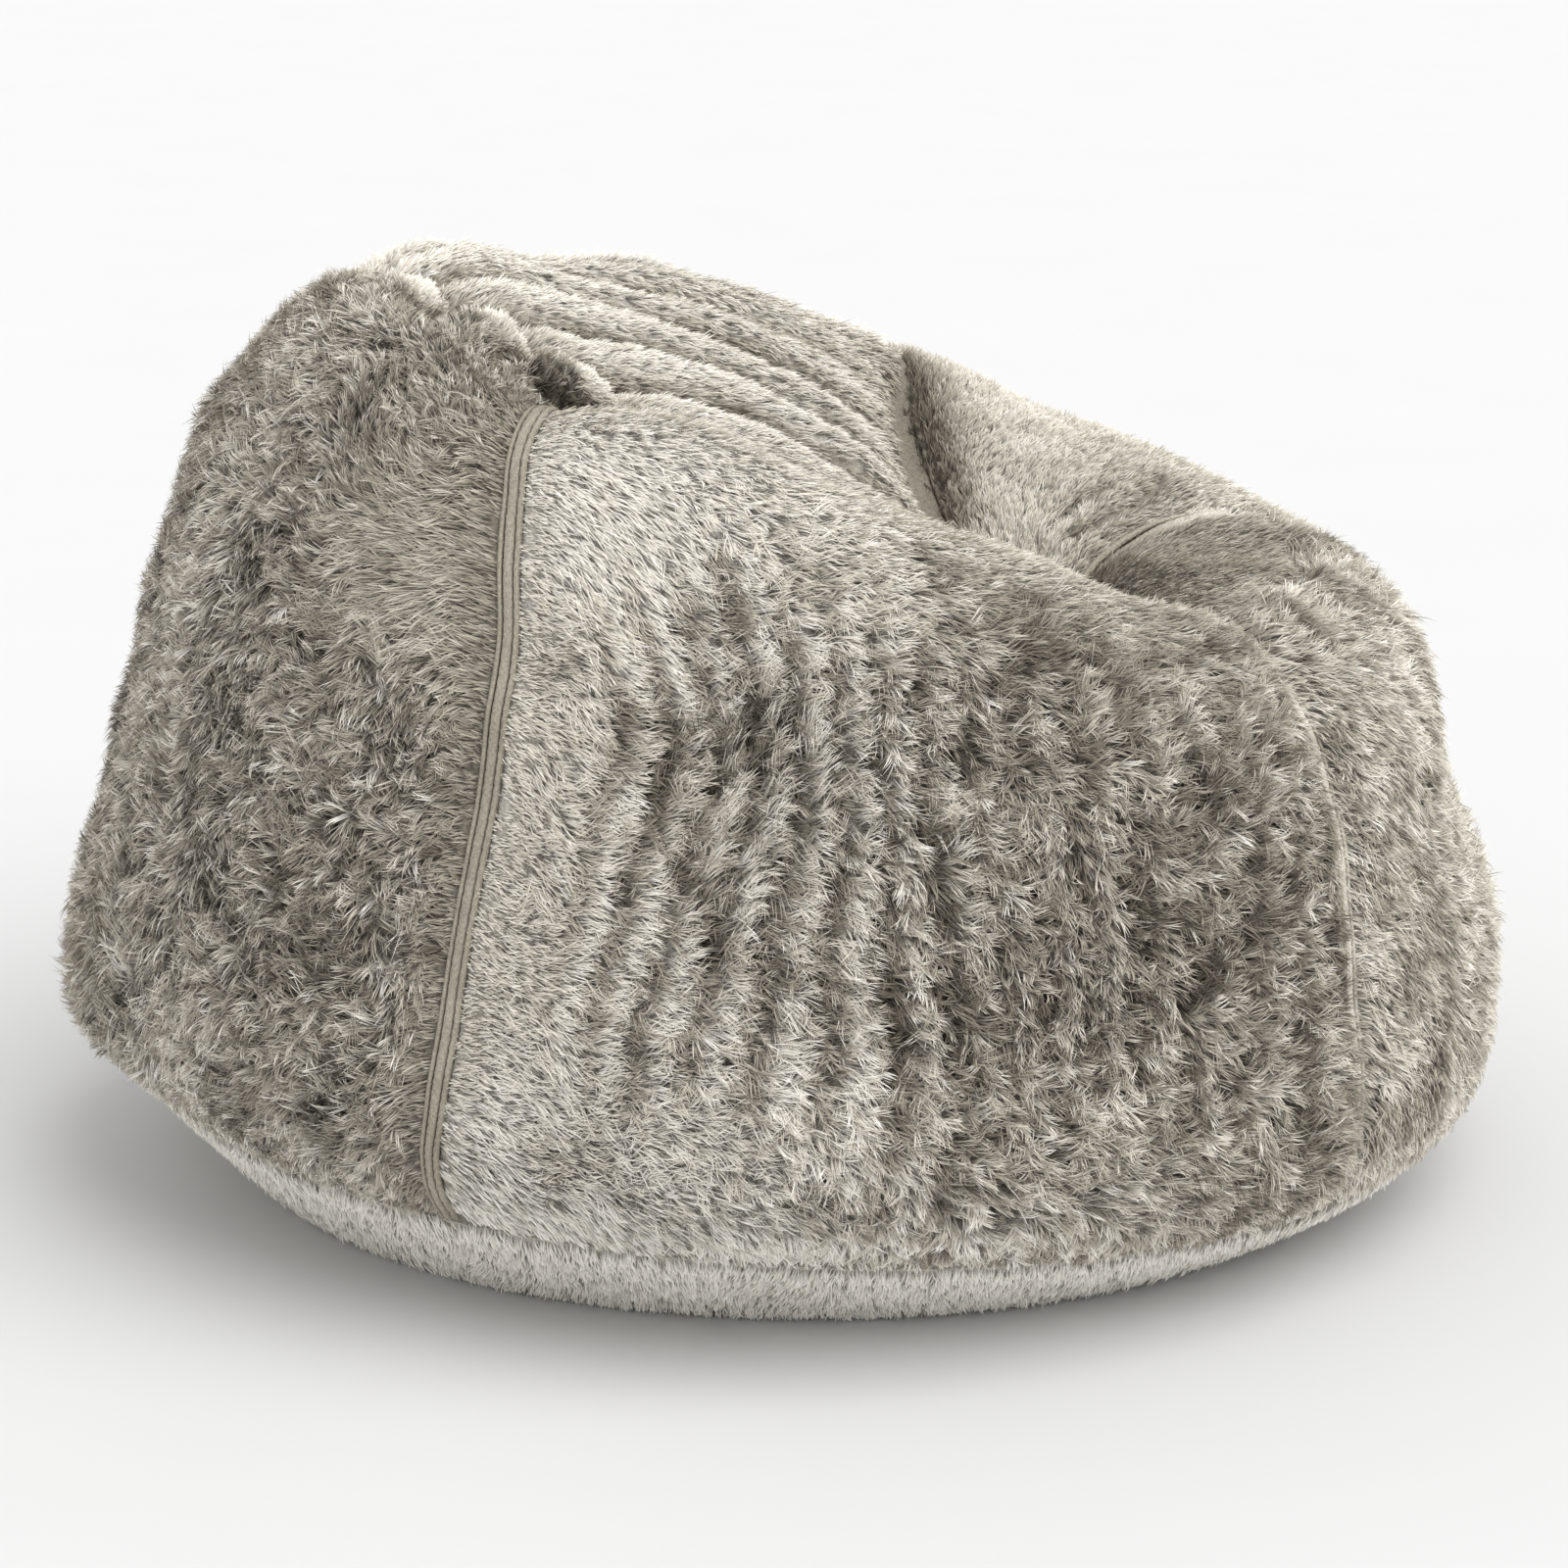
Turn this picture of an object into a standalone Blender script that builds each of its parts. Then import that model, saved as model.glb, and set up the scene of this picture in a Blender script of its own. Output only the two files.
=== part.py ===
# Bean bag chair: a faux-fur cover of five gores, a top cap and a zipped base, over a zipped liner
# full of beads.  Metres, +Z up, the sitter faces -Y, the flat underside is on z = 0.
import bpy
import bmesh
import numpy as np
from mathutils import Matrix, Vector

# ---- driving dimensions of the filled form -------------------------------------------------------
# One meridian runs from the floor edge, over the rim, down to the seat's dip.  Each station gives
# (share of the way, radius, height, height gained at the back, extra height at both sides, centre's
# shift towards the back, radius gained at front and back, height gained on the sitter's right).
FLOOR_EDGE = (0.00, 0.411, 0.000, 0.000, 0.000, -0.004, 0.014, 0.000)
BASE_SEAM = (0.06, 0.501, 0.078, 0.022, 0.000, -0.002, 0.015, 0.000)
BELLY = (0.18, 0.540, 0.185, 0.000, 0.000, 0.000, 0.004, 0.000)
UPPER_SIDE = (0.36, 0.512, 0.350, 0.050, 0.000, -0.012, 0.000, 0.000)
SHOULDER = (0.54, 0.462, 0.492, 0.080, 0.000, -0.018, 0.000, 0.006)
RIM = (0.70, 0.348, 0.582, 0.100, 0.020, -0.010, 0.000, 0.012)
SEAT_WALL = (0.86, 0.185, 0.520, 0.062, 0.000, -0.065, 0.000, 0.006)
SEAT_DIP = (1.00, 0.000, 0.430, 0.000, 0.000, -0.150, 0.000, 0.000)


def beyond_dip(station):
    """The same station met again on the far side of the dip, which keeps the dip rounded."""
    share, radius, height, back_gain, side_gain, shift, long_gain, lean = station
    return (2.0 - share, -radius, height, -back_gain, side_gain, shift, -long_gain, -lean)


STATIONS = np.array([FLOOR_EDGE, BASE_SEAM, BELLY, UPPER_SIDE, SHOULDER, RIM, SEAT_WALL, SEAT_DIP,
                     beyond_dip(SEAT_WALL), beyond_dip(RIM), beyond_dip(SHOULDER)])
SEAM_SHARE = BASE_SEAM[0]
BASE_RINGS = 7               # rings of quads from the base's middle to its seam
FLAT_SHARE = 5.0 / BASE_RINGS    # share of those rings that lies flat on the floor

# ---- the cover -----------------------------------------------------------------------------------
SEAM_AZIMUTHS = (-180.0, -105.0, -31.0, 31.0, 95.0, 180.0)
GORE_NAMES = ("gore_back_right", "gore_side_right", "gore_front", "gore_side_left", "gore_back_left")
SEAM_NAMES = ("seam_centre_back", "seam_right_rear", "seam_right_front", "seam_left_front",
              "seam_left_rear")
PILE = 0.012                 # backing cloth plus packed pile
SEAM_WIDTH = 0.014           # flat-felled seam between its two rows of stitching
SEAM_THICK = 0.007
PANEL_GAP = 0.0012
PILLOW = 0.012               # how far a gore swells between its seams
CAP_SHARE = 0.93             # where the gores end round the small top cap
CAP_STEP = 0.0035            # clear share of the meridian between the gores and the cap
BASE_STEP = 0.0030           # clear share of the meridian between the gores and the base
FOLD_DEPTH = 0.007           # gathers that run down the back into the seat
FOLD_COUNT = 5.0
FOLD_SPREAD = 75.0           # degrees either side of the back over which the gathers fade out

# ---- the liner and the beads ---------------------------------------------------------------------
LINER_DEPTH = 0.0180         # from the cover's outer face to the liner's outer face
LINER_CLOTH = 0.0012
FILL_DEPTH = 0.0245
FILL_SHARES = (0.03, 0.985)  # where the beads' curved skin starts and where it closes in the dip
FILL_FLOOR = 0.87            # the beads' flat underside against the start of their curved skin

# ---- zips (both run front to back under the middle, the liner's above the cover's) --------------
COVER_ZIP_X = 0.0
COVER_ZIP_LENGTH = 0.500
COVER_ZIP_HEIGHT = 0.0070
LINER_ZIP_X = 0.0
LINER_ZIP_LENGTH = 0.380
LINER_ZIP_HEIGHT = 0.0188
SLOT_HALF = 0.0125
TAPE_THICK = 0.0008
TAPE_INNER = 0.0022
CLEAR = 0.0004
TOOTH_PITCH = 0.0075
TOOTH_LONG = 0.0042
TOOTH_HIGH = 0.0034
ROW_INNER = 0.0007           # from the zip's centre line to the teeth's tips
ROW_OUTER = 0.0036
SLIDER_LENGTH = 0.0120
SLIDER_HALF = 0.0060
PLATE = 0.0011
POST_HALF = 0.0004
ARCH_HALF = 0.0008           # half the width of the arch that the pull tab hangs on
ARCH_FOOT = 0.0020           # from the arch's middle to its feet
ARCH_STOCK = 0.0009
ARCH_ROOM = 0.0008           # from the tab's turning axis down to the arch
TAB_AXIS = 0.0010            # from the slider's lower plate down to the tab's turning axis
TAB_BAR = 0.0008             # the tab's end bar, which turns between the arch and the plate
TAB_REACH = 0.0145
TAB_WIDTH = 0.0066
TAB_THICK = 0.0009
TAB_HOLE_HALF = 0.0013
TAB_HOLE_REACH = 0.0040
STOP_LENGTH = 0.0030

COLLECTION = "bean_bag_chair"
CUTTERS = "cutters"


# ---- scene helpers -------------------------------------------------------------------------------
def clear_scene():
    for item in list(bpy.data.objects):
        bpy.data.objects.remove(item, do_unlink=True)


def make_collection(name):
    made = bpy.data.collections.new(name)
    bpy.context.scene.collection.children.link(made)
    return made


def make_material(name, colour, roughness, metallic=0.0):
    material = bpy.data.materials.new(name)
    material.use_nodes = True
    shader = material.node_tree.nodes["Principled BSDF"]
    shader.inputs["Base Color"].default_value = (*colour, 1.0)
    shader.inputs["Roughness"].default_value = roughness
    shader.inputs["Metallic"].default_value = metallic
    material.diffuse_color = (*colour, 1.0)
    return material


def object_from(mesh_builder, name, material, cutter=False):
    mesh = bpy.data.meshes.new(name)
    mesh_builder.to_mesh(mesh)
    mesh_builder.free()
    made = bpy.data.objects.new(name, mesh)
    bpy.data.collections[CUTTERS if cutter else COLLECTION].objects.link(made)
    if cutter:
        made.hide_render = True
        made.display_type = "WIRE"
    else:
        mesh.materials.append(material)
    return made


def box(name, low, high, material=None, cutter=False):
    builder = bmesh.new()
    size = Vector(high) - Vector(low)
    middle = (Vector(high) + Vector(low)) / 2.0
    placed = Matrix.Translation(middle) @ Matrix.Diagonal((*size, 1.0))
    bmesh.ops.create_cube(builder, size=1.0, matrix=placed)
    return object_from(builder, name, material, cutter)


def cut(target, cutter, operation="DIFFERENCE"):
    step = target.modifiers.new("cut_" + cutter.name, "BOOLEAN")
    step.operation = operation
    step.solver = "EXACT"
    step.object = cutter


def thicken(target, thickness):
    shell = target.modifiers.new("thickness", "SOLIDIFY")
    shell.thickness = thickness
    shell.offset = -1.0
    shell.use_rim = True


# ---- the filled form -----------------------------------------------------------------------------
def curve_through(shares, values, at):
    """A natural cubic through the stations' values, read at the given shares."""
    steps = np.diff(shares)
    count = len(shares)
    system = np.zeros((count, count))
    right = np.zeros((count, values.shape[1]))
    system[0, 0] = 1.0
    system[-1, -1] = 1.0
    slopes = np.diff(values, axis=0) / steps[:, None]
    for i in range(1, count - 1):
        system[i, i - 1] = steps[i - 1]
        system[i, i] = 2.0 * (steps[i - 1] + steps[i])
        system[i, i + 1] = steps[i]
        right[i] = 6.0 * (slopes[i] - slopes[i - 1])
    bend = np.linalg.solve(system, right)
    k = np.clip(np.searchsorted(shares, at) - 1, 0, count - 2)
    h = steps[k]
    a = (shares[k + 1] - at) / h
    b = (at - shares[k]) / h
    flat = a[:, None] * values[k] + b[:, None] * values[k + 1]
    curved = ((a ** 3 - a) * h * h / 6.0)[:, None] * bend[k]
    curved += ((b ** 3 - b) * h * h / 6.0)[:, None] * bend[k + 1]
    return flat + curved


def smooth(low, high, value):
    t = np.clip((value - low) / (high - low), 0.0, 1.0)
    return t * t * (3.0 - 2.0 * t)


def plain_form(azimuth, share):
    """Points of the form, azimuth 0 at the front (-Y), share 0 at the floor and 1 in the dip."""
    found = curve_through(STATIONS[:, 0], STATIONS[:, 1:], share)
    radius, height, back_gain, side_gain, shift, long_gain, lean = found.T
    radius = radius + long_gain * np.cos(2.0 * azimuth)
    height = height - back_gain * np.cos(azimuth) - side_gain * np.cos(2.0 * azimuth)
    height = height - lean * np.sin(azimuth)
    return np.stack([radius * np.sin(azimuth), shift - radius * np.cos(azimuth), height], axis=1)


def outward(azimuth, share):
    """Unit normals of the form, by differences along and across a meridian."""
    step = 1e-4
    safe = np.clip(share, 0.004, 0.985)
    across = plain_form(azimuth + step, safe) - plain_form(azimuth - step, safe)
    along = plain_form(azimuth, safe + step) - plain_form(azimuth, safe - step)
    normal = np.cross(across, along)
    return normal / np.linalg.norm(normal, axis=1)[:, None]


def swell(azimuth, share):
    """Pillow between the seams, and the gathers down the back of the seat."""
    turn = np.degrees(azimuth)
    seams = np.array(SEAM_AZIMUTHS)
    turn = (turn + 180.0) % 360.0 - 180.0
    k = np.clip(np.searchsorted(seams, turn, side="right") - 1, 0, len(seams) - 2)
    across = (turn - seams[k]) / (seams[k + 1] - seams[k]) * 2.0 - 1.0
    pillow = PILLOW * (1.0 - across ** 2) * smooth(SEAM_SHARE, 0.2, share)
    pillow *= 1.0 - smooth(0.72, 0.90, share)
    from_back = 180.0 - np.abs(turn)
    fade = 1.0 - smooth(0.5 * FOLD_SPREAD, FOLD_SPREAD, from_back)
    window = smooth(0.62, 0.74, share) * (1.0 - smooth(0.84, CAP_SHARE, share))
    wave = np.sin(np.pi * from_back / FOLD_SPREAD * FOLD_COUNT)
    return pillow + FOLD_DEPTH * wave * fade * window


def form(azimuth, share, depth=0.0, swelled=True):
    azimuth = np.asarray(azimuth, float)
    share = np.asarray(share, float)
    raised = swell(azimuth, share) if swelled else 0.0 * share
    return plain_form(azimuth, share) + outward(azimuth, share) * (raised - depth)[:, None]


# ---- patches of the form -------------------------------------------------------------------------
def grid_of(columns, rows):
    """A flat grid of quads with its corners in 0..1, and those corners as an array."""
    builder = bmesh.new()
    bmesh.ops.create_grid(builder, x_segments=columns, y_segments=rows, size=0.5)
    at = np.array([(v.co.x + 0.5, v.co.y + 0.5) for v in builder.verts])
    return builder, at


def place(builder, points):
    for vertex, point in zip(builder.verts, points):
        vertex.co = point


def meridian_radius(share):
    return curve_through(STATIONS[:, 0], STATIONS[:, 1:2], share)[:, 0]


def side_panel(name, start, stop, margin, shares, counts, thickness, depth, material):
    """A strip of the form between two azimuths, kept a fixed distance from both."""
    builder, at = grid_of(*counts)
    share = shares[0] + (shares[1] - shares[0]) * at[:, 1]
    inset = margin / np.maximum(meridian_radius(share), 0.02)
    low = np.radians(start) + inset
    high = np.radians(stop) - inset
    place(builder, form(low + (high - low) * at[:, 0], share, depth))
    made = object_from(builder, name, material)
    thicken(made, thickness)
    return made


def seam_band(name, azimuth, material):
    builder, at = grid_of(1, 24)
    share = SEAM_SHARE + BASE_STEP + (CAP_SHARE - CAP_STEP - SEAM_SHARE - BASE_STEP) * at[:, 1]
    half = SEAM_WIDTH / 2.0 / np.maximum(meridian_radius(share), 0.02)
    turn = np.radians(azimuth) + half * (at[:, 0] * 2.0 - 1.0)
    place(builder, form(turn, share, (PILE - SEAM_THICK) / 2.0))
    made = object_from(builder, name, material)
    thicken(made, SEAM_THICK)
    return made


def disc_of(segments):
    """A square grid drawn out into a disc: its builder, each corner's azimuth and radius share."""
    builder, at = grid_of(segments, segments)
    x, y = (at * 2.0 - 1.0).T
    return builder, np.arctan2(x, -y), np.maximum(np.abs(x), np.abs(y))


def base_points(azimuth, out, depth):
    """Base disc: flat in the middle, turned up to the base seam outside FLAT_SHARE."""
    climb = np.clip((out - FLAT_SHARE) / (1.0 - FLAT_SHARE), 0.0, 1.0)
    turned = form(azimuth, climb * (SEAM_SHARE - BASE_STEP), 0.0, swelled=False)
    inner = np.clip(out / FLAT_SHARE, 0.0, 1.0)
    turned[:, 0] *= inner
    turned[:, 1] *= inner
    flat = climb <= 0.0
    turned[flat, 2] = 0.0
    lift = outward(azimuth, climb * SEAM_SHARE)
    lift[flat] = (0.0, 0.0, -1.0)
    return turned - lift * depth


def base_disc(name, depth, thickness, material):
    builder, azimuth, out = disc_of(2 * BASE_RINGS)
    place(builder, base_points(azimuth, out, depth))
    bmesh.ops.reverse_faces(builder, faces=builder.faces)
    made = object_from(builder, name, material)
    thicken(made, thickness)
    return made


def half_base(name, side, zip_x, zip_length, depth, thickness, material):
    """One half of a base, cut along the zip's line and notched for the zip."""
    made = base_disc(name, depth, thickness, material)
    line = zip_x + side * PANEL_GAP / 4.0
    far = zip_x - side * 1.5
    other = box(name + "_other_side", (min(line, far), -1.0, -0.1), (max(line, far), 1.0, 0.4),
                cutter=True)
    cut(made, other)
    end = zip_length / 2.0 + 0.008
    edges = sorted((zip_x - side * 0.002, zip_x + side * SLOT_HALF))
    notch = box(name + "_zip_notch", (edges[0], -end, -0.1), (edges[1], end, 0.06), cutter=True)
    cut(made, notch)
    return made


# ---- cover, liner and beads ----------------------------------------------------------------------
def build_cover(fur, seam_fur):
    margin = SEAM_WIDTH / 2.0 + PANEL_GAP
    shares = (SEAM_SHARE + BASE_STEP, CAP_SHARE - CAP_STEP)
    pairs = zip(GORE_NAMES, SEAM_AZIMUTHS[:-1], SEAM_AZIMUTHS[1:])
    for name, start, stop in pairs:
        side_panel(name, start, stop, margin, shares, (8, 20), PILE, 0.0, fur)
    for name, azimuth in zip(SEAM_NAMES, SEAM_AZIMUTHS[:-1]):
        seam_band(name, azimuth, seam_fur)
    top_cap("top_cap", 0.0, PILE, fur)
    half_base("base_right", -1.0, COVER_ZIP_X, COVER_ZIP_LENGTH, 0.0, PILE, fur)
    half_base("base_left", 1.0, COVER_ZIP_X, COVER_ZIP_LENGTH, 0.0, PILE, fur)


def top_cap(name, depth, thickness, material):
    builder, azimuth, out = disc_of(6)
    share = 1.0 - out * (1.0 - CAP_SHARE - CAP_STEP)
    place(builder, form(azimuth, share, depth))
    made = object_from(builder, name, material)
    thicken(made, thickness)
    return made


def build_liner(cloth):
    builder, at = grid_of(30, 26)
    shares = (SEAM_SHARE + BASE_STEP, CAP_SHARE - CAP_STEP)
    share = shares[0] + (shares[1] - shares[0]) * at[:, 1]
    place(builder, form(np.pi * (at[:, 0] * 2.0 - 1.0), share, LINER_DEPTH, swelled=False))
    bmesh.ops.remove_doubles(builder, verts=builder.verts, dist=1e-5)
    thicken(object_from(builder, "liner_wall", cloth), LINER_CLOTH)
    top_cap("liner_top", LINER_DEPTH, LINER_CLOTH, cloth)
    half_base("liner_base_right", -1.0, LINER_ZIP_X, LINER_ZIP_LENGTH, LINER_DEPTH, LINER_CLOTH,
              cloth)
    half_base("liner_base_left", 1.0, LINER_ZIP_X, LINER_ZIP_LENGTH, LINER_DEPTH, LINER_CLOTH,
              cloth)


def build_beads(beads):
    """The beads as one body: the form's inside, closed by a flat floor."""
    builder, at = grid_of(30, 26)
    share = FILL_SHARES[0] + (FILL_SHARES[1] - FILL_SHARES[0]) * at[:, 1]
    place(builder, form(np.pi * (at[:, 0] * 2.0 - 1.0), share, FILL_DEPTH, swelled=False))
    bmesh.ops.remove_doubles(builder, verts=builder.verts, dist=1e-5)
    rims = [edge for edge in builder.edges if edge.is_boundary]
    upper = [edge for edge in rims if edge.verts[0].co.z > 0.2]
    lower = [edge for edge in rims if edge.verts[0].co.z <= 0.2]
    bmesh.ops.contextual_create(builder, geom=upper)
    made_edges = bmesh.ops.extrude_edge_only(builder, edges=lower)["geom"]
    ring = [item for item in made_edges if isinstance(item, bmesh.types.BMVert)]
    for vertex in ring:
        vertex.co.x *= FILL_FLOOR
        vertex.co.y *= FILL_FLOOR
        vertex.co.z = FILL_DEPTH
    bottom = [edge for edge in builder.edges if edge.is_boundary]
    bmesh.ops.contextual_create(builder, geom=bottom)
    bmesh.ops.recalc_face_normals(builder, faces=builder.faces)
    made = object_from(builder, "bead_fill", beads)
    end = LINER_ZIP_LENGTH / 2.0 + 0.012
    reach = SLOT_HALF + 0.002
    room = box("bead_fill_zip_room", (LINER_ZIP_X - reach, -end, -0.01),
               (LINER_ZIP_X + reach, end, LINER_ZIP_HEIGHT + 0.006), cutter=True)
    cut(made, room)
    return made


# ---- zips ----------------------------------------------------------------------------------------
def tooth_row(name, side, x, z, length, material):
    """One row of teeth on its cord: a bar with teeth that point at the zip's centre line."""
    builder = bmesh.new()
    low = -length / 2.0
    bar_in = x + side * (ROW_OUTER - 0.0012)
    bar_out = x + side * ROW_OUTER
    count = int(length / TOOTH_PITCH)
    corners = [(bar_out, low)]
    for i in range(count):
        first = low + (i + 0.5) * TOOTH_PITCH - TOOTH_LONG / 2.0
        tip = x + side * ROW_INNER
        corners += [(bar_in, first), (tip, first + 0.0004)]
        corners += [(tip, first + TOOTH_LONG - 0.0004), (bar_in, first + TOOTH_LONG)]
    corners.append((bar_out, low + count * TOOTH_PITCH))
    outline = [builder.verts.new((cx, cy, z - TOOTH_HIGH / 2.0)) for cx, cy in corners]
    face = builder.faces.new(outline)
    raised = bmesh.ops.extrude_face_region(builder, geom=[face])["geom"]
    for item in raised:
        if isinstance(item, bmesh.types.BMVert):
            item.co.z += TOOTH_HIGH
    bmesh.ops.recalc_face_normals(builder, faces=builder.faces)
    return object_from(builder, name, material)


def tape(name, side, x, z, length, material):
    near = x + side * (ROW_OUTER + CLEAR)
    far = x + side * (SLOT_HALF - CLEAR)
    end = length / 2.0 + 0.006
    return box(name, (min(near, far), -end, z - TAPE_THICK / 2.0),
               (max(near, far), end, z + TAPE_THICK / 2.0), material)


def stop(name, x, y, z, material):
    half = ROW_OUTER
    return box(name, (x - half, y - STOP_LENGTH / 2.0, z - TOOTH_HIGH / 2.0),
               (x + half, y + STOP_LENGTH / 2.0, z + TOOTH_HIGH / 2.0), material)


def joined(name, boxes, material):
    """One solid from overlapping boxes."""
    made = box(name, *boxes[0], material)
    for i, corners in enumerate(boxes[1:]):
        other = box(name + "_add_" + str(i), *corners, cutter=True)
        cut(made, other, "UNION")
    return made


def slider(name, x, z, y, has_arch, metal):
    """Two plates joined by a thin post that runs between the rows, with an arch for the tab."""
    gap = TOOTH_HIGH / 2.0 + CLEAR
    half = SLIDER_LENGTH / 2.0
    lower = ((x - SLIDER_HALF, y - half, z - gap - PLATE), (x + SLIDER_HALF, y + half, z - gap))
    upper = ((x - SLIDER_HALF, y - half, z + gap), (x + SLIDER_HALF, y + half, z + gap + PLATE))
    post = ((x - POST_HALF, y + half - 0.005, z - gap - PLATE / 2.0),
            (x + POST_HALF, y + half - 0.001, z + gap + PLATE / 2.0))
    boxes = [lower, upper, post]
    if has_arch:
        boxes += arch(x, y, z - gap - PLATE / 2.0)
    return joined(name, boxes, metal)


def arch(x, y, root):
    """A bar along the zip between two feet, under the lower plate: slimmer than its feet."""
    top = tab_axis_height() - ARCH_ROOM
    bottom = top - ARCH_STOCK
    reach = ARCH_FOOT + ARCH_STOCK
    left, right = x - ARCH_HALF, x + ARCH_HALF
    inset = ARCH_STOCK / 8.0
    end = reach - ARCH_STOCK / 2.0
    return [((left, y - reach, bottom), (right, y - ARCH_FOOT, root)),
            ((left, y + ARCH_FOOT, bottom), (right, y + reach, root)),
            ((left + inset, y - end, bottom + inset), (right - inset, y + end, top))]


def tab_axis_height():
    return COVER_ZIP_HEIGHT - TOOTH_HIGH / 2.0 - CLEAR - PLATE - TAB_AXIS


def pull_tab(metal):
    """A flat tab whose looped end turns in the slider's arch, folded back along the zip."""
    y = slider_rest()
    z = tab_axis_height()
    half = TAB_THICK / 2.0
    made = box("zip_pull_tab", (COVER_ZIP_X - TAB_WIDTH / 2.0, y - TAB_REACH, z - half),
               (COVER_ZIP_X + TAB_WIDTH / 2.0, y + TAB_BAR / 2.0, z + half), metal)
    hole = box("zip_pull_tab_hole", (COVER_ZIP_X - TAB_HOLE_HALF, y - TAB_HOLE_REACH, -0.01),
               (COVER_ZIP_X + TAB_HOLE_HALF, y - TAB_BAR / 2.0, 0.02), cutter=True)
    cut(made, hole)
    made.data.transform(Matrix.Translation((-COVER_ZIP_X, -y, -z)))
    made.location = (COVER_ZIP_X, y, z)
    return made


def slider_rest():
    return COVER_ZIP_LENGTH / 2.0 - SLIDER_LENGTH / 2.0 - STOP_LENGTH


def build_zips(cloth, liner_cloth, nylon, metal):
    for word, side in (("right", -1.0), ("left", 1.0)):
        tape("zip_tape_" + word, side, COVER_ZIP_X, COVER_ZIP_HEIGHT, COVER_ZIP_LENGTH, cloth)
        tooth_row("zip_teeth_" + word, side, COVER_ZIP_X, COVER_ZIP_HEIGHT,
                  COVER_ZIP_LENGTH, nylon)
        tape("liner_zip_tape_" + word, side, LINER_ZIP_X, LINER_ZIP_HEIGHT, LINER_ZIP_LENGTH,
             liner_cloth)
        tooth_row("liner_zip_teeth_" + word, side, LINER_ZIP_X, LINER_ZIP_HEIGHT,
                  LINER_ZIP_LENGTH, nylon)
    for word, turn in (("front", -1.0), ("back", 1.0)):
        end = turn * (COVER_ZIP_LENGTH / 2.0 + STOP_LENGTH / 2.0 + CLEAR)
        stop("zip_stop_" + word, COVER_ZIP_X, end, COVER_ZIP_HEIGHT, metal)
        end = turn * (LINER_ZIP_LENGTH / 2.0 + STOP_LENGTH / 2.0 + CLEAR)
        stop("liner_zip_stop_" + word, LINER_ZIP_X, end, LINER_ZIP_HEIGHT, metal)
    slider("zip_slider", COVER_ZIP_X, COVER_ZIP_HEIGHT, slider_rest(), True, metal)
    liner_rest = LINER_ZIP_LENGTH / 2.0 - SLIDER_LENGTH / 2.0 - STOP_LENGTH
    slider("liner_zip_slider", LINER_ZIP_X, LINER_ZIP_HEIGHT, liner_rest, False, metal)
    pull_tab(metal)


def main():
    clear_scene()
    make_collection(COLLECTION)
    make_collection(CUTTERS)
    fur = make_material("faux_fur", (0.42, 0.38, 0.32), 0.95)
    seam_fur = make_material("seam_fur", (0.34, 0.31, 0.26), 0.95)
    liner_cloth = make_material("liner_cloth", (0.78, 0.78, 0.76), 0.85)
    beads = make_material("polystyrene_beads", (0.90, 0.90, 0.90), 0.70)
    zip_cloth = make_material("zip_tape_cloth", (0.30, 0.27, 0.23), 0.90)
    nylon = make_material("zip_nylon", (0.28, 0.25, 0.21), 0.45)
    metal = make_material("zip_metal", (0.62, 0.62, 0.63), 0.30, 1.0)
    build_cover(fur, seam_fur)
    build_liner(liner_cloth)
    build_beads(beads)
    build_zips(zip_cloth, liner_cloth, nylon, metal)


main()
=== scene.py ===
"""Looks of the faux-fur bean bag chair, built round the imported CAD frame: filled cover panels with
their folds and seams, a pile of real blades, a woven liner, beads, zips, floor, light and camera."""

import math

import bpy
import numpy as np
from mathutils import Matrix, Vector


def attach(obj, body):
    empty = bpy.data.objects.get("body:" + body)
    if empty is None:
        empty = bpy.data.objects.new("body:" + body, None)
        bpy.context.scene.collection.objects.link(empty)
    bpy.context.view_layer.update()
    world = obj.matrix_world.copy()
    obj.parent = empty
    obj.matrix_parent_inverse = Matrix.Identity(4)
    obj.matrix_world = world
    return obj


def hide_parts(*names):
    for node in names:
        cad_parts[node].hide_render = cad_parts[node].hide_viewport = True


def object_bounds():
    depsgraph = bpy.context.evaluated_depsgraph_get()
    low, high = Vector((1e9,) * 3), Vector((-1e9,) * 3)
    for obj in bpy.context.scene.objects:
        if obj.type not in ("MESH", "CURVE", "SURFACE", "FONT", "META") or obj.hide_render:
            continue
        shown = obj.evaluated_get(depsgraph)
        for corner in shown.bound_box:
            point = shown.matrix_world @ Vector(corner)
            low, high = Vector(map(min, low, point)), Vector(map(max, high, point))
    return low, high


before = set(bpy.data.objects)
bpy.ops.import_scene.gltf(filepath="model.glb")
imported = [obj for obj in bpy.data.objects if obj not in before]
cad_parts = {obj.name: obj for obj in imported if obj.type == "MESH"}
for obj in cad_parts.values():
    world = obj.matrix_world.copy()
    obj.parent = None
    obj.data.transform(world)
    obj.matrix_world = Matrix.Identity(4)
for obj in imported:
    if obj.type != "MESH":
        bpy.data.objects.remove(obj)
CAD_LOW, CAD_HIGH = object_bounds()

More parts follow.
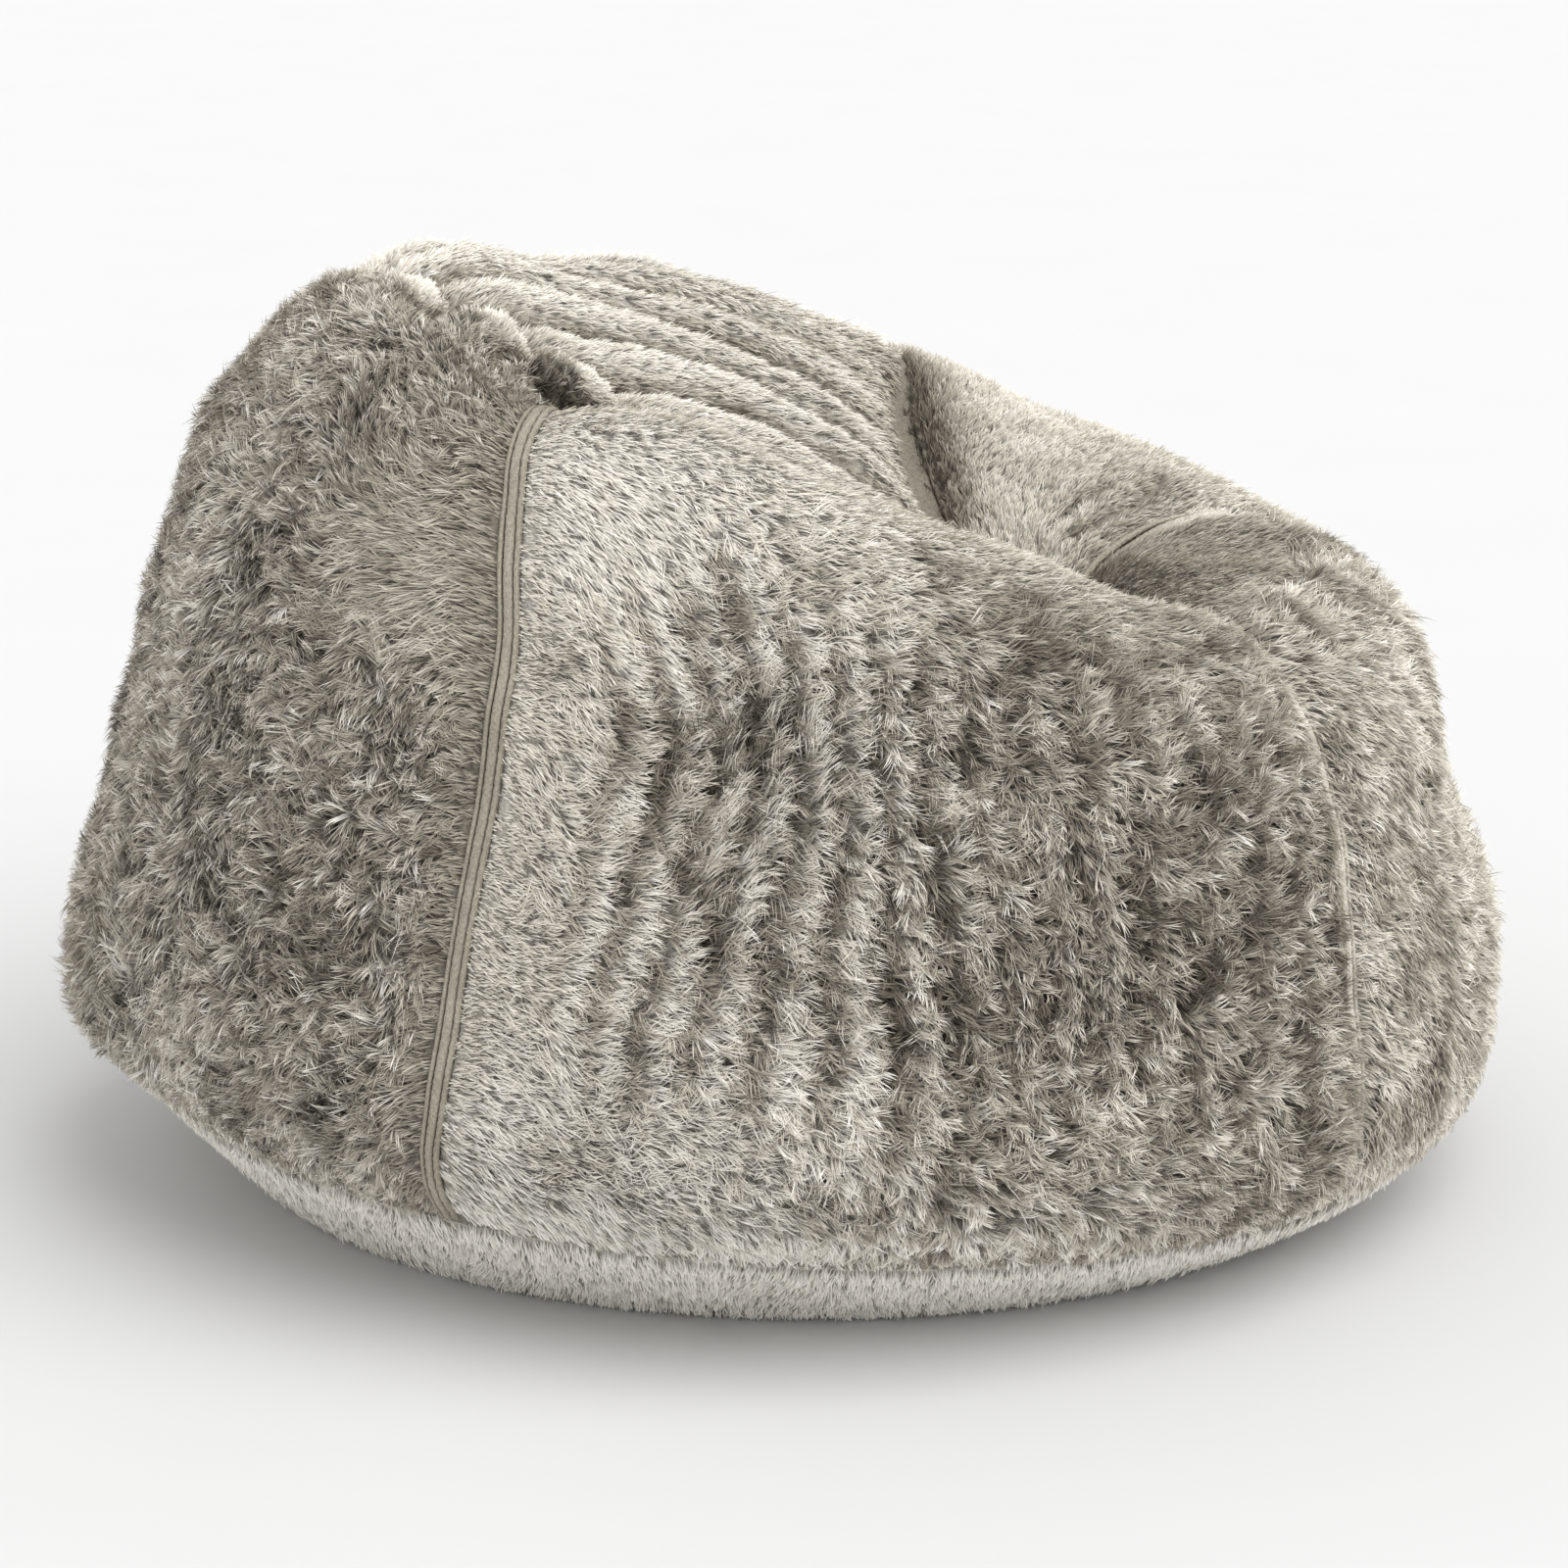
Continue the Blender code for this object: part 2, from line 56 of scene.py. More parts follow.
# ---- the filled form, as the CAD has it ----------------------------------------------------------
# share of the way, radius, height, gained at the back, gained at both sides, shift to the back,
# radius gained at front and back, gained on the sitter's right
NOMINAL_WIDTH = 1.0837
SCALE = (CAD_HIGH.x - CAD_LOW.x) / NOMINAL_WIDTH
FLOOR_EDGE = (0.00, 0.411, 0.000, 0.000, 0.000, -0.004, 0.014, 0.000)
BASE_SEAM = (0.06, 0.501, 0.078, 0.022, 0.000, -0.002, 0.015, 0.000)
BELLY = (0.18, 0.540, 0.185, 0.000, 0.000, 0.000, 0.004, 0.000)
UPPER_SIDE = (0.36, 0.512, 0.350, 0.050, 0.000, -0.012, 0.000, 0.000)
SHOULDER = (0.54, 0.462, 0.492, 0.080, 0.000, -0.018, 0.000, 0.006)
RIM = (0.70, 0.348, 0.582, 0.100, 0.020, -0.010, 0.000, 0.012)
SEAT_WALL = (0.86, 0.185, 0.520, 0.062, 0.000, -0.065, 0.000, 0.006)
SEAT_DIP = (1.00, 0.000, 0.430, 0.000, 0.000, -0.150, 0.000, 0.000)


def beyond_dip(station):
    """A station mirrored in the dip, so that the curves run level through it."""
    share, radius, height, back_gain, side_gain, shift, long_gain, lean = station
    return (2.0 - share, -radius, height, -back_gain, side_gain, shift, -long_gain, -lean)


STATIONS = np.array([FLOOR_EDGE, BASE_SEAM, BELLY, UPPER_SIDE, SHOULDER, RIM, SEAT_WALL, SEAT_DIP,
                     beyond_dip(SEAT_WALL), beyond_dip(RIM), beyond_dip(SHOULDER)])
STATIONS[:, 1:] *= SCALE
SHARES, VALUES = STATIONS[:, 0], STATIONS[:, 1:]
SEAM_SHARE = 0.063           # where the gores begin, at the base seam
CAP_SHARE = 0.93             # where they end, at the top cap
LAST_SHARE = 0.9985
SEAMS = np.array([-180.0, -105.0, -31.0, 31.0, 95.0, 180.0])
GORES = ("gore_back_right", "gore_side_right", "gore_front", "gore_side_left", "gore_back_left")
BACK_RIGHT, SIDE_RIGHT, FRONT, SIDE_LEFT, BACK_LEFT = range(5)
SEAM_NODES = ("seam_centre_back", "seam_right_rear", "seam_right_front", "seam_left_front",
              "seam_left_rear")
RIGHT_REAR, LEFT_FRONT, LEFT_REAR = 1, 3, 4       # places in SEAM_NODES and SEAMS
SEAT_START = 0.72            # share: past the rim, in the seat
LEAST_RADIUS = 0.03          # taken at the dip, where the meridians meet
SEAM_HALF = 0.0065           # half the width of the stitched band
PILE_DEPTH = 0.0115          # from the outside of the pile to its backing
BODY = "bag"


def spline_bends():
    """Second derivatives of the natural cubic splines through the stations."""
    steps = np.diff(SHARES)
    n = len(SHARES)
    system, right = np.zeros((n, n)), np.zeros((n, VALUES.shape[1]))
    system[0, 0] = system[-1, -1] = 1.0
    slopes = np.diff(VALUES, axis=0) / steps[:, None]
    for i in range(1, n - 1):
        system[i, i - 1:i + 2] = steps[i - 1], 2.0 * (steps[i - 1] + steps[i]), steps[i]
        right[i] = 6.0 * (slopes[i] - slopes[i - 1])
    return np.linalg.solve(system, right)


BENDS = spline_bends()


def stations_at(share):
    """The stations' values anywhere along the meridian, radius first."""
    k = np.clip(np.searchsorted(SHARES, share) - 1, 0, len(SHARES) - 2)
    h = (SHARES[k + 1] - SHARES[k])[:, None]
    a = (SHARES[k + 1] - share)[:, None] / h
    b = (share - SHARES[k])[:, None] / h
    return (a * VALUES[k] + b * VALUES[k + 1]
            + (a ** 3 - a) * h * h / 6.0 * BENDS[k] + (b ** 3 - b) * h * h / 6.0 * BENDS[k + 1])


def plain_form(azimuth, share):
    """Points of the filled form without its folds."""
    radius, height, back, side, shift, long_gain, lean = stations_at(share).T
    radius = radius + long_gain * np.cos(2.0 * azimuth)
    height = height - back * np.cos(azimuth) - side * np.cos(2.0 * azimuth) - lean * np.sin(azimuth)
    return np.stack([radius * np.sin(azimuth), shift - radius * np.cos(azimuth), height], axis=1)


def unit(v):
    return v / np.maximum(np.linalg.norm(v, axis=1), 1e-12)[:, None]


def smooth(low, high, x):
    t = np.clip((x - low) / (high - low), 0.0, 1.0)
    return t * t * (3.0 - 2.0 * t)


def bell(x, middle, width):
    return np.exp(-((x - middle) / width) ** 2)


def wrapped(degrees):
    return (degrees + 180.0) % 360.0 - 180.0


def across_gore(degrees):
    """Which gore an azimuth is in, and how far across it, 0 to 1."""
    turn = wrapped(degrees)
    k = np.clip(np.searchsorted(SEAMS, turn, side="right") - 1, 0, 4)
    return k, (turn - SEAMS[k]) / (SEAMS[k + 1] - SEAMS[k])


# ---- smooth noise made of a few waves, the same everywhere it is asked for -----------------------
def wave_noise(points, scale, seed, count=14):
    """Smooth noise in about -1..1 over 3D points, features about scale metres across."""
    rng = np.random.default_rng(seed)
    k = rng.normal(size=(count, 3)) / scale * 1.6
    phase = rng.uniform(0.0, 2.0 * math.pi, count)
    total = np.zeros(len(points))
    for i in range(count):
        total += np.sin(points @ k[i] + phase[i])
    return total / math.sqrt(count / 2.0) / 1.6


# ---- folds ---------------------------------------------------------------------------------------
PILLOW = 0.014               # how far a gore stands out between its seams
VALLEY_DEPTH = 0.028         # of the seams down in the seat
VALLEY_WIDTH = 0.018
GATHER_DEPTH = 0.031         # of the long slump folds across the seat's back
GATHER_FROM = 97.0           # degrees: where they begin, on the far side
FOLD_PITCH = 0.042           # in share: how far apart they are
FOLD_START = 0.786
FOLD_SLOPE = 0.00105         # in share for each degree round the back
CREASE_DEPTH = 0.009
FRONT_FOLD_DEPTH = 0.010

# soft bumps and hollows: metres out, azimuth in degrees, its width, share, its width
POCKET = ((-0.050, -112.0, 9.0, 0.735, 0.030),       # where the right rear seam enters the seat
          (-0.030, -128.0, 18.0, 0.800, 0.060),
          (-0.018, -147.0, 5.0, 0.826, 0.016),
          (0.010, -140.0, 16.0, 0.705, 0.030))       # the brow over it
SLACK = ((-0.016, -168.0, 42.0, 0.44, 0.18),         # the back
         (-0.012, -169.0, 13.0, 0.64, 0.08),
         (0.026, 165.0, 48.0, 0.69, 0.08),
         (-0.026, 6.0, 30.0, 0.38, 0.18),            # the front
         (0.012, -6.0, 24.0, 0.64, 0.07),
         (0.014, -96.0, 16.0, 0.67, 0.06),           # the rim on the sitter's right
         (-0.012, -50.0, 26.0, 0.70, 0.09),
         (-0.020, 62.0, 22.0, 0.68, 0.12),           # the rim on the sitter's left
         (0.010, 30.0, 14.0, 0.60, 0.08))


def bumps(table, degrees, share):
    """What a table's bumps and hollows add up to, in metres."""
    total = np.zeros(len(degrees))
    for out, azimuth, wide, middle, tall in table:
        total += out * bell(wrapped(degrees - azimuth), 0.0, wide) * bell(share, middle, tall)
    return total


def seam_distance(degrees, share):
    """Metres along the surface to the nearest gore seam, and further by the cap, which has none."""
    k, u = across_gore(degrees)
    turn = np.minimum(u, 1.0 - u) * (SEAMS[k + 1] - SEAMS[k])
    radius = np.maximum(stations_at(share)[:, 0], LEAST_RADIUS)
    return np.radians(turn) * radius + 0.06 * smooth(0.89, 0.95, share)


def seam_wander(azimuth, share):
    """How far the two rear seams stray from their meridians, by the base and over the rim."""
    degrees = wrapped(np.degrees(azimuth))
    low = -2.6 * (1.0 - smooth(0.04, 0.24, share))
    high = -3.6 * bell(share, 0.70, 0.13)
    far = -10.0 * smooth(0.60, 0.76, share) * bell(degrees, SEAMS[LEFT_REAR], 34.0)
    return np.radians((low + high) * bell(degrees, SEAMS[RIGHT_REAR], 22.0) + far)


def from_back(degrees):
    """Degrees round the back of the seat, from where the slump folds begin."""
    return wrapped(degrees - GATHER_FROM) % 360.0


def gather_crest(degrees, share, points):
    """The long slump folds across the back of the seat: 1 along a crest, 0 down in a fold."""
    phase = (share + FOLD_SLOPE * from_back(degrees) - FOLD_START) / FOLD_PITCH
    phase = phase + 0.24 * wave_noise(points, 0.20, 11) + 0.07 * wave_noise(points, 0.06, 12)
    return np.abs(np.sin(math.pi * phase)) ** 0.8


def gather_room(degrees, share):
    """Where those folds are, 0 to 1."""
    turn = from_back(degrees)
    inside = smooth(0.0, 20.0, turn) * (1.0 - smooth(104.0, 122.0, turn))
    deeper = 0.70 + 0.30 * smooth(0.76, 0.86, share + FOLD_SLOPE * turn)
    return inside * deeper * smooth(0.64, 0.76, share) * (1.0 - 0.7 * smooth(0.86, 0.98, share))


def panel_crease(degrees, share):
    """Two thin creases slanting down the far panel of the seat: 1 at the bottom of one."""
    line = 37.7 + 900.0 * (share - 0.79) ** 2
    first = np.exp(-np.abs(degrees - line))
    second = np.exp(-np.abs(degrees - line - 7.5))
    first = first * smooth(0.70, 0.73, share) * (0.55 + 0.45 * smooth(0.79, 0.83, share))
    second = 0.7 * second * smooth(0.76, 0.79, share)
    return np.maximum(first, second) * (1.0 - smooth(0.86, 0.89, share))


def front_fold(degrees, share):
    """The fold where the front panel turns down into the seat: 1 at its bottom."""
    return bell(share, 0.662, 0.010) * bell(degrees, 0.0, 17.0)


def slump_ripples(degrees, share, points):
    """Slack ripples where the near panel slumps."""
    ripple = 0.004 * np.sin(degrees / 3.4 + 2.0 * wave_noise(points, 0.2, 5))
    ripple = ripple * bell(degrees, -72.0, 18.0) * smooth(0.12, 0.25, share)
    return ripple * (1.0 - smooth(0.50, 0.62, share))


def folds(azimuth, share):
    """How far the surface stands out of the plain form, in metres."""
    degrees = wrapped(np.degrees(azimuth))
    u = across_gore(degrees)[1]
    points = plain_form(azimuth, share)
    pillow = PILLOW * (1.0 - (2.0 * u - 1.0) ** 2) * smooth(SEAM_SHARE, 0.2, share)
    pillow = pillow * (1.0 - 0.6 * smooth(0.66, 0.80, share))
    seat = smooth(0.70, 0.80, share) * (1.0 - smooth(0.93, 1.0, share))
    valley = -VALLEY_DEPTH * seat * np.exp(-seam_distance(degrees, share) / VALLEY_WIDTH)
    crest = gather_crest(degrees, share, points) - 0.55
    gather = GATHER_DEPTH * crest * gather_room(degrees, share)
    crease = -CREASE_DEPTH * panel_crease(degrees, share)
    front = -FRONT_FOLD_DEPTH * front_fold(degrees, share)
    slack = bumps(POCKET, degrees, share) + bumps(SLACK, degrees, share)
    # on the sitter's left of the centre back seam the rim is pulled in
    slack = slack - 0.012 * bell(degrees, 178.0, 16.0) * bell(share, 0.66, 0.06)
    slump = slump_ripples(degrees, share, points)
    # the filling is uneven everywhere
    lumps = 0.007 * wave_noise(points, 0.16, 3) + 0.0025 * wave_noise(points, 0.05, 4)
    lumps = lumps * smooth(SEAM_SHARE, 0.14, share)
    made = pillow + valley + gather + crease + front + slack + slump
    return made * (1.0 - smooth(0.87, 0.97, share)) + lumps


def frame_of(form, azimuth, share, step):
    """Unit normals of a form, and unit tangents along azimuth and meridian."""
    da = form(azimuth + step, share) - form(azimuth - step, share)
    ds = form(azimuth, share + step) - form(azimuth, share - step)
    return unit(np.cross(da, ds)), unit(da), unit(ds)


def folded(azimuth, share):
    normal = frame_of(plain_form, azimuth, share, 2e-4)[0]
    out = normal * (folds(azimuth, share) * SCALE)[:, None]
    return plain_form(azimuth + seam_wander(azimuth, share), share) + out


def surface(azimuth, share, depth=0.0):
    """Points of the folded surface, unit normals, and unit tangents along azimuth and meridian."""
    share = np.clip(share, 0.0, LAST_SHARE)
    normal, along, up = frame_of(folded, azimuth, share, 2.5e-3)
    points = folded(azimuth, share) - normal * np.asarray(depth).reshape(-1, 1)
    return points, normal, along, up


def base_surface(azimuth, share):
    """The same for the plain form, without its folds."""
    return plain_form(azimuth, share), *frame_of(plain_form, azimuth, share, 1e-3)


# ---- node helpers --------------------------------------------------------------------------------
class Nodes:
    """A material's node tree with short names for what this script uses."""

    def __init__(self, name, roughness, metallic=0.0, specular=0.3):
        self.material = bpy.data.materials.new(name)
        self.material.use_nodes = True
        self.tree = self.material.node_tree
        self.shader = self.tree.nodes["Principled BSDF"]
        self.shader.inputs["Roughness"].default_value = roughness
        self.shader.inputs["Metallic"].default_value = metallic
        self.shader.inputs["Specular IOR Level"].default_value = specular

    def add(self, kind, **values):
        node = self.tree.nodes.new(kind)
        for key, value in values.items():
            setattr(node, key, value)
        return node

    def link(self, a, b):
        self.tree.links.new(a, b)

    def put(self, socket, value):
        if hasattr(value, "is_linked"):
            self.link(value, socket)
        else:
            socket.default_value = value

    def math(self, operation, a, b=0.0):
        node = self.add("ShaderNodeMath", operation=operation)
        self.put(node.inputs[0], a)
        self.put(node.inputs[1], b)
        return node.outputs[0]

    def noise(self, vector, scale, detail=2.0, roughness=0.5):
        node = self.add("ShaderNodeTexNoise")
        self.link(vector, node.inputs["Vector"])
        node.inputs["Scale"].default_value = scale
        node.inputs["Detail"].default_value = detail
        node.inputs["Roughness"].default_value = roughness
        return node.outputs["Fac"]

    def voronoi(self, vector, scale, feature="F1"):
        node = self.add("ShaderNodeTexVoronoi", feature=feature)
        self.link(vector, node.inputs["Vector"])
        node.inputs["Scale"].default_value = scale
        return node.outputs["Distance"]

    def ramp(self, fac, stops):
        node = self.add("ShaderNodeValToRGB")
        self.link(fac, node.inputs["Fac"])
        ramp = node.color_ramp
        while len(ramp.elements) < len(stops):
            ramp.elements.new(0.5)
        for element, (position, colour) in zip(ramp.elements, stops):
            element.position = position
            element.color = (*colour, 1.0)
        return node.outputs["Color"]

    def span(self, value, low, high, to_low, to_high):
        node = self.add("ShaderNodeMapRange")
        self.link(value, node.inputs["Value"])
        for key, number in zip(("From Min", "From Max", "To Min", "To Max"),
                               (low, high, to_low, to_high)):
            node.inputs[key].default_value = number
        return node.outputs["Result"]

    def scaled(self, colour, factor):
        node = self.add("ShaderNodeVectorMath", operation="SCALE")
        self.link(colour, node.inputs[0])
        self.link(factor, node.inputs["Scale"])
        return node.outputs["Vector"]

    def object_space(self, stretch=(1.0, 1.0, 1.0)):
        node = self.add("ShaderNodeTexCoord")
        mapping = self.add("ShaderNodeMapping")
        self.link(node.outputs["Object"], mapping.inputs["Vector"])
        mapping.inputs["Scale"].default_value = stretch
        return mapping.outputs["Vector"]

    def bump(self, height, distance, strength=1.0):
        node = self.add("ShaderNodeBump")
        node.inputs["Strength"].default_value = strength
        node.inputs["Distance"].default_value = distance
        self.link(height, node.inputs["Height"])
        self.link(node.outputs["Normal"], self.shader.inputs["Normal"])


# ---- materials -----------------------------------------------------------------------------------
TONES = ((0.00, (0.075, 0.062, 0.044)), (0.25, (0.200, 0.174, 0.132)),
         (0.50, (0.470, 0.428, 0.352)), (0.75, (0.780, 0.737, 0.645)),
         (1.00, (0.960, 0.930, 0.860)))


def fur_material():
    """Blades: the map's u is the blade's tone and its width, v runs from root to tip."""
    n = Nodes("faux_fur_pile", 0.62, specular=0.22)
    uv = n.add("ShaderNodeUVMap", uv_map="OFBake")
    split = n.add("ShaderNodeSeparateXYZ")
    n.link(uv.outputs["UV"], split.inputs[0])
    u, v = split.outputs["X"], split.outputs["Y"]
    tone = n.ramp(u, TONES)
    # Darker towards the root and paler towards the tip: the dark roots are painted shade, where the
    # blades shade one another.
    along = n.ramp(v, ((0.0, (0.30,) * 3), (0.32, (0.62,) * 3), (0.72, (1.0,) * 3),
                       (1.0, (1.32,) * 3)))
    shade = n.add("ShaderNodeSeparateXYZ")
    n.link(along, shade.inputs[0])
    stretch = n.add("ShaderNodeCombineXYZ")
    n.put(stretch.inputs["X"], n.math("MULTIPLY", u, 420.0))
    n.put(stretch.inputs["Y"], n.math("MULTIPLY", v, 2.5))
    streak = n.span(n.noise(stretch.outputs[0], 1.0, 2.0, 0.6), 0.32, 0.68, 0.72, 1.22)
    n.link(n.scaled(n.scaled(tone, shade.outputs["X"]), streak), n.shader.inputs["Base Color"])
    n.shader.inputs["Sheen Weight"].default_value = 0.25
    n.shader.inputs["Sheen Roughness"].default_value = 0.45
    return n.material


def pelt_material(name, low, high):
    """The backing and the dense underfur that shows between the blades."""
    n = Nodes(name, 0.95, specular=0.1)
    at = n.object_space()
    grain = n.noise(at, 420.0, 3.0, 0.65)
    patch = n.noise(at, 22.0, 2.0)
    mixed = n.math("ADD", n.math("MULTIPLY", grain, 0.7), n.math("MULTIPLY", patch, 0.3))
    n.link(n.ramp(mixed, ((0.3, low), (0.7, high))), n.shader.inputs["Base Color"])
    n.bump(grain, 0.003)
    return n.material


def tinted_material(name, depth):
    """Backing and underfur in the colour of the pile that grows there, from the map named tone."""
    n = Nodes(name, 0.9, specular=0.15)
    uv = n.add("ShaderNodeUVMap", uv_map="tone")
    split = n.add("ShaderNodeSeparateXYZ")
    n.link(uv.outputs["UV"], split.inputs[0])
    at = n.object_space()
    grain = n.noise(at, 420.0, 3.0, 0.65)
    # The grain varies the colour and depth scales it: 0.80 darkens the backing under the pile,
    # painted shade there, while the seam bands keep 1.0.
    shade = n.span(grain, 0.3, 0.7, 0.70 * depth, 1.15 * depth)
    n.link(n.scaled(n.ramp(split.outputs["X"], TONES), shade), n.shader.inputs["Base Color"])
    n.bump(grain, 0.002)
    return n.material


def woven_material(name, low, high, pitch, roughness=0.85):
    n = Nodes(name, roughness, specular=0.2)
    at = n.object_space()
    split = n.add("ShaderNodeSeparateXYZ")
    n.link(at, split.inputs[0])
    rate = 2.0 * math.pi / pitch
    warp = n.math("SINE", n.math("MULTIPLY", split.outputs["X"], rate))
    weft = n.math("SINE", n.math("MULTIPLY", split.outputs["Y"], rate))
    rise = n.math("SINE", n.math("MULTIPLY", split.outputs["Z"], rate))
    weave = n.math("ADD", n.math("MULTIPLY", warp, weft), n.math("MULTIPLY", rise, 0.5))
    slub = n.noise(at, 60.0, 3.0)
    mixed = n.math("ADD", n.math("MULTIPLY", weave, 0.15), slub)
    n.link(n.ramp(mixed, ((0.3, low), (0.7, high))), n.shader.inputs["Base Color"])
    n.bump(weave, 0.0004)
    return n.material


def bead_material():
    n = Nodes("polystyrene_beads_look", 0.7)
    at = n.object_space()
    cells = n.voronoi(at, 240.0)
    # Darker towards the cells' edges: painted shade where the beads meet.
    n.link(n.ramp(cells, ((0.0, (0.93, 0.93, 0.92)), (0.6, (0.62, 0.62, 0.61)))),
           n.shader.inputs["Base Color"])
    n.bump(n.math("SUBTRACT", 1.0, cells), 0.0015)
    return n.material


def nylon_material():
    n = Nodes("zip_nylon_look", 0.4)
    at = n.object_space()
    fine = n.noise(at, 900.0, 2.0)
    n.link(n.ramp(fine, ((0.3, (0.20, 0.175, 0.145)), (0.7, (0.27, 0.24, 0.20)))),
           n.shader.inputs["Base Color"])
    n.bump(fine, 0.0001)
    return n.material


def metal_material():
    n = Nodes("zip_metal_look", 0.32, metallic=1.0, specular=0.5)
    at = n.object_space((1.0, 12.0, 1.0))
    brushed = n.noise(at, 500.0, 3.0)
    n.link(n.ramp(brushed, ((0.3, (0.50, 0.50, 0.51)), (0.7, (0.68, 0.68, 0.69)))),
           n.shader.inputs["Base Color"])
    n.link(n.span(brushed, 0.3, 0.7, 0.26, 0.40), n.shader.inputs["Roughness"])
    n.bump(brushed, 0.00005)
    return n.material


def floor_material():
    n = Nodes("studio_floor", 0.9, specular=0.1)
    at = n.object_space()
    soft = n.noise(at, 3.0, 2.0)
    n.link(n.ramp(soft, ((0.2, (0.725, 0.725, 0.725)), (0.8, (0.735, 0.735, 0.735)))),
           n.shader.inputs["Base Color"])
    return n.material


FUR = fur_material()
BASE = pelt_material("base_pelt", (0.500, 0.460, 0.385), (0.720, 0.675, 0.580))
PELT = tinted_material("faux_fur_pelt", 0.80)
BAND = tinted_material("seam_band", 1.0)
LINER = woven_material("liner_weave", (0.66, 0.66, 0.64), (0.80, 0.80, 0.78), 0.0016)
TAPE = woven_material("zip_tape_weave", (0.22, 0.195, 0.16), (0.32, 0.29, 0.245), 0.0012)
BEADS = bead_material()
NYLON = nylon_material()
METAL = metal_material()


# ---- meshes --------------------------------------------------------------------------------------
def mesh_object(name, points, faces, material):
    mesh = bpy.data.meshes.new(name)
    mesh.from_pydata(points.tolist(), [], faces)
    mesh.materials.append(material)
    mesh.polygons.foreach_set("use_smooth", np.ones(len(mesh.polygons), bool))
    mesh.update()
    made = bpy.data.objects.new(name, mesh)
    bpy.context.scene.collection.objects.link(made)
    return made


def tint(made, tones):
    """Lay each vertex's tone into the map that the backing's material reads."""
    mesh = made.data
    corner = np.empty(len(mesh.loops), np.int32)
    mesh.loops.foreach_get("vertex_index", corner)
    layer = mesh.uv_layers.new(name="tone")
    both = np.stack([tones[corner], np.full(len(corner), 0.5)], axis=1)
    layer.data.foreach_set("uv", both.astype(np.float32).ravel())


def grid_faces(columns, rows, closed=False):
    across = columns if closed else columns - 1
    faces = []
    for j in range(rows - 1):
        for i in range(across):
            a, b = j * columns + i, j * columns + (i + 1) % columns
            faces.append((a, b, b + columns, a + columns))
    return faces


def shell(made, thickness):
    """Give a sheet its thickness, inwards."""
    step = made.modifiers.new("cloth", "SOLIDIFY")
    step.thickness = thickness
    step.offset = -1.0


def half_turn(share, half):
    """The turn in radians that a distance along the surface takes."""
    return half / np.maximum(stations_at(share)[:, 0], LEAST_RADIUS)


def pile_depth(share):
    """The backing lies under the pile, and comes out to meet the base at its seam."""
    return PILE_DEPTH * (0.15 + 0.85 * smooth(SEAM_SHARE, 0.16, share))


PELT_THICKNESS = 0.0018
BAND_THICKNESS = 0.0015


def pelt(index):
    """A gore's backing, from seam to seam, from the base seam to the top cap."""
    columns, rows = 60, 150
    share = np.repeat(np.linspace(SEAM_SHARE, CAP_SHARE, rows), columns)
    u = np.tile(np.linspace(0.0, 1.0, columns), rows)
    inset = half_turn(share, SEAM_HALF - 0.001)
    low, high = np.radians(SEAMS[index]) + inset, np.radians(SEAMS[index + 1]) - inset
    azimuth = low + (high - low) * u
    points = surface(azimuth, share, pile_depth(share))[0]
    made = mesh_object("pelt_" + GORES[index], points, grid_faces(columns, rows), PELT)
    tint(made, comb(azimuth, share, points)[3])
    shell(made, PELT_THICKNESS)
    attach(made, BODY)
    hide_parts(GORES[index])
    return made


# across the band, -1 to 1, and out of the backing, in metres
BAND_PROFILE = ((-1.0, -0.0019), (-0.85, 0.0002), (-0.70, 0.0010), (-0.52, 0.0006),
                (-0.46, -0.0034), (-0.38, -0.0034), (-0.32, 0.0006), (-0.18, 0.0015), (0.0, 0.0018),
                (0.18, 0.0015), (0.32, 0.0006), (0.38, -0.0034), (0.46, -0.0034), (0.52, 0.0006),
                (0.70, 0.0010), (0.85, 0.0002), (1.0, -0.0019))
GROOVE_AT = 0.42             # across the band
# The grooves are painted nearly black: painted shade down in them.
GROOVE_SHADE_TONE = 0.06
STITCH_TURN = 2.2            # radians of the dimples' wave from one row to the next


def seam_band(index):
    """The flat-felled seam: a raised band with two stitched grooves, dimpled at each stitch."""
    rows = 260
    columns = len(BAND_PROFILE)
    share = np.repeat(np.linspace(SEAM_SHARE, CAP_SHARE, rows), columns)
    across = np.tile([p[0] for p in BAND_PROFILE], rows)
    rise = np.tile([p[1] for p in BAND_PROFILE], rows)
    azimuth = np.radians(SEAMS[index]) + half_turn(share, SEAM_HALF * 1.2) * across
    points, normal, _, _ = surface(azimuth, share, pile_depth(share))
    stitch = np.sin(np.repeat(np.arange(rows), columns) * STITCH_TURN)
    rise = rise + 0.0005 * stitch * (np.abs(np.abs(across) - GROOVE_AT) < 0.15)
    rise = rise + 0.0006 * wave_noise(points, 0.02, 21 + index)
    proud = 0.0035 if index == RIGHT_REAR else 0.0012
    welt = 0.007 * smooth(0.70, 0.78, share) if index == LEFT_FRONT else 0.0
    made = mesh_object("stitched_" + SEAM_NODES[index],
                       points + normal * (rise + proud + welt)[:, None],
                       grid_faces(columns, rows), BAND)
    groove = np.tile([p[1] < -0.002 for p in BAND_PROFILE], rows)
    middle = np.full(len(share), np.radians(SEAMS[index]))
    tone = comb(middle, share, points)[3] + 0.05
    # Down in the seat the far seam's band is held darker: painted shade along it.
    palest = np.where((share > 0.68) & (index == LEFT_REAR), 0.42, 0.75)
    tint(made, np.where(groove, GROOVE_SHADE_TONE, np.clip(tone, 0.3, palest)))
    shell(made, BAND_THICKNESS)
    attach(made, BODY)
    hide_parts(SEAM_NODES[index])
    return made


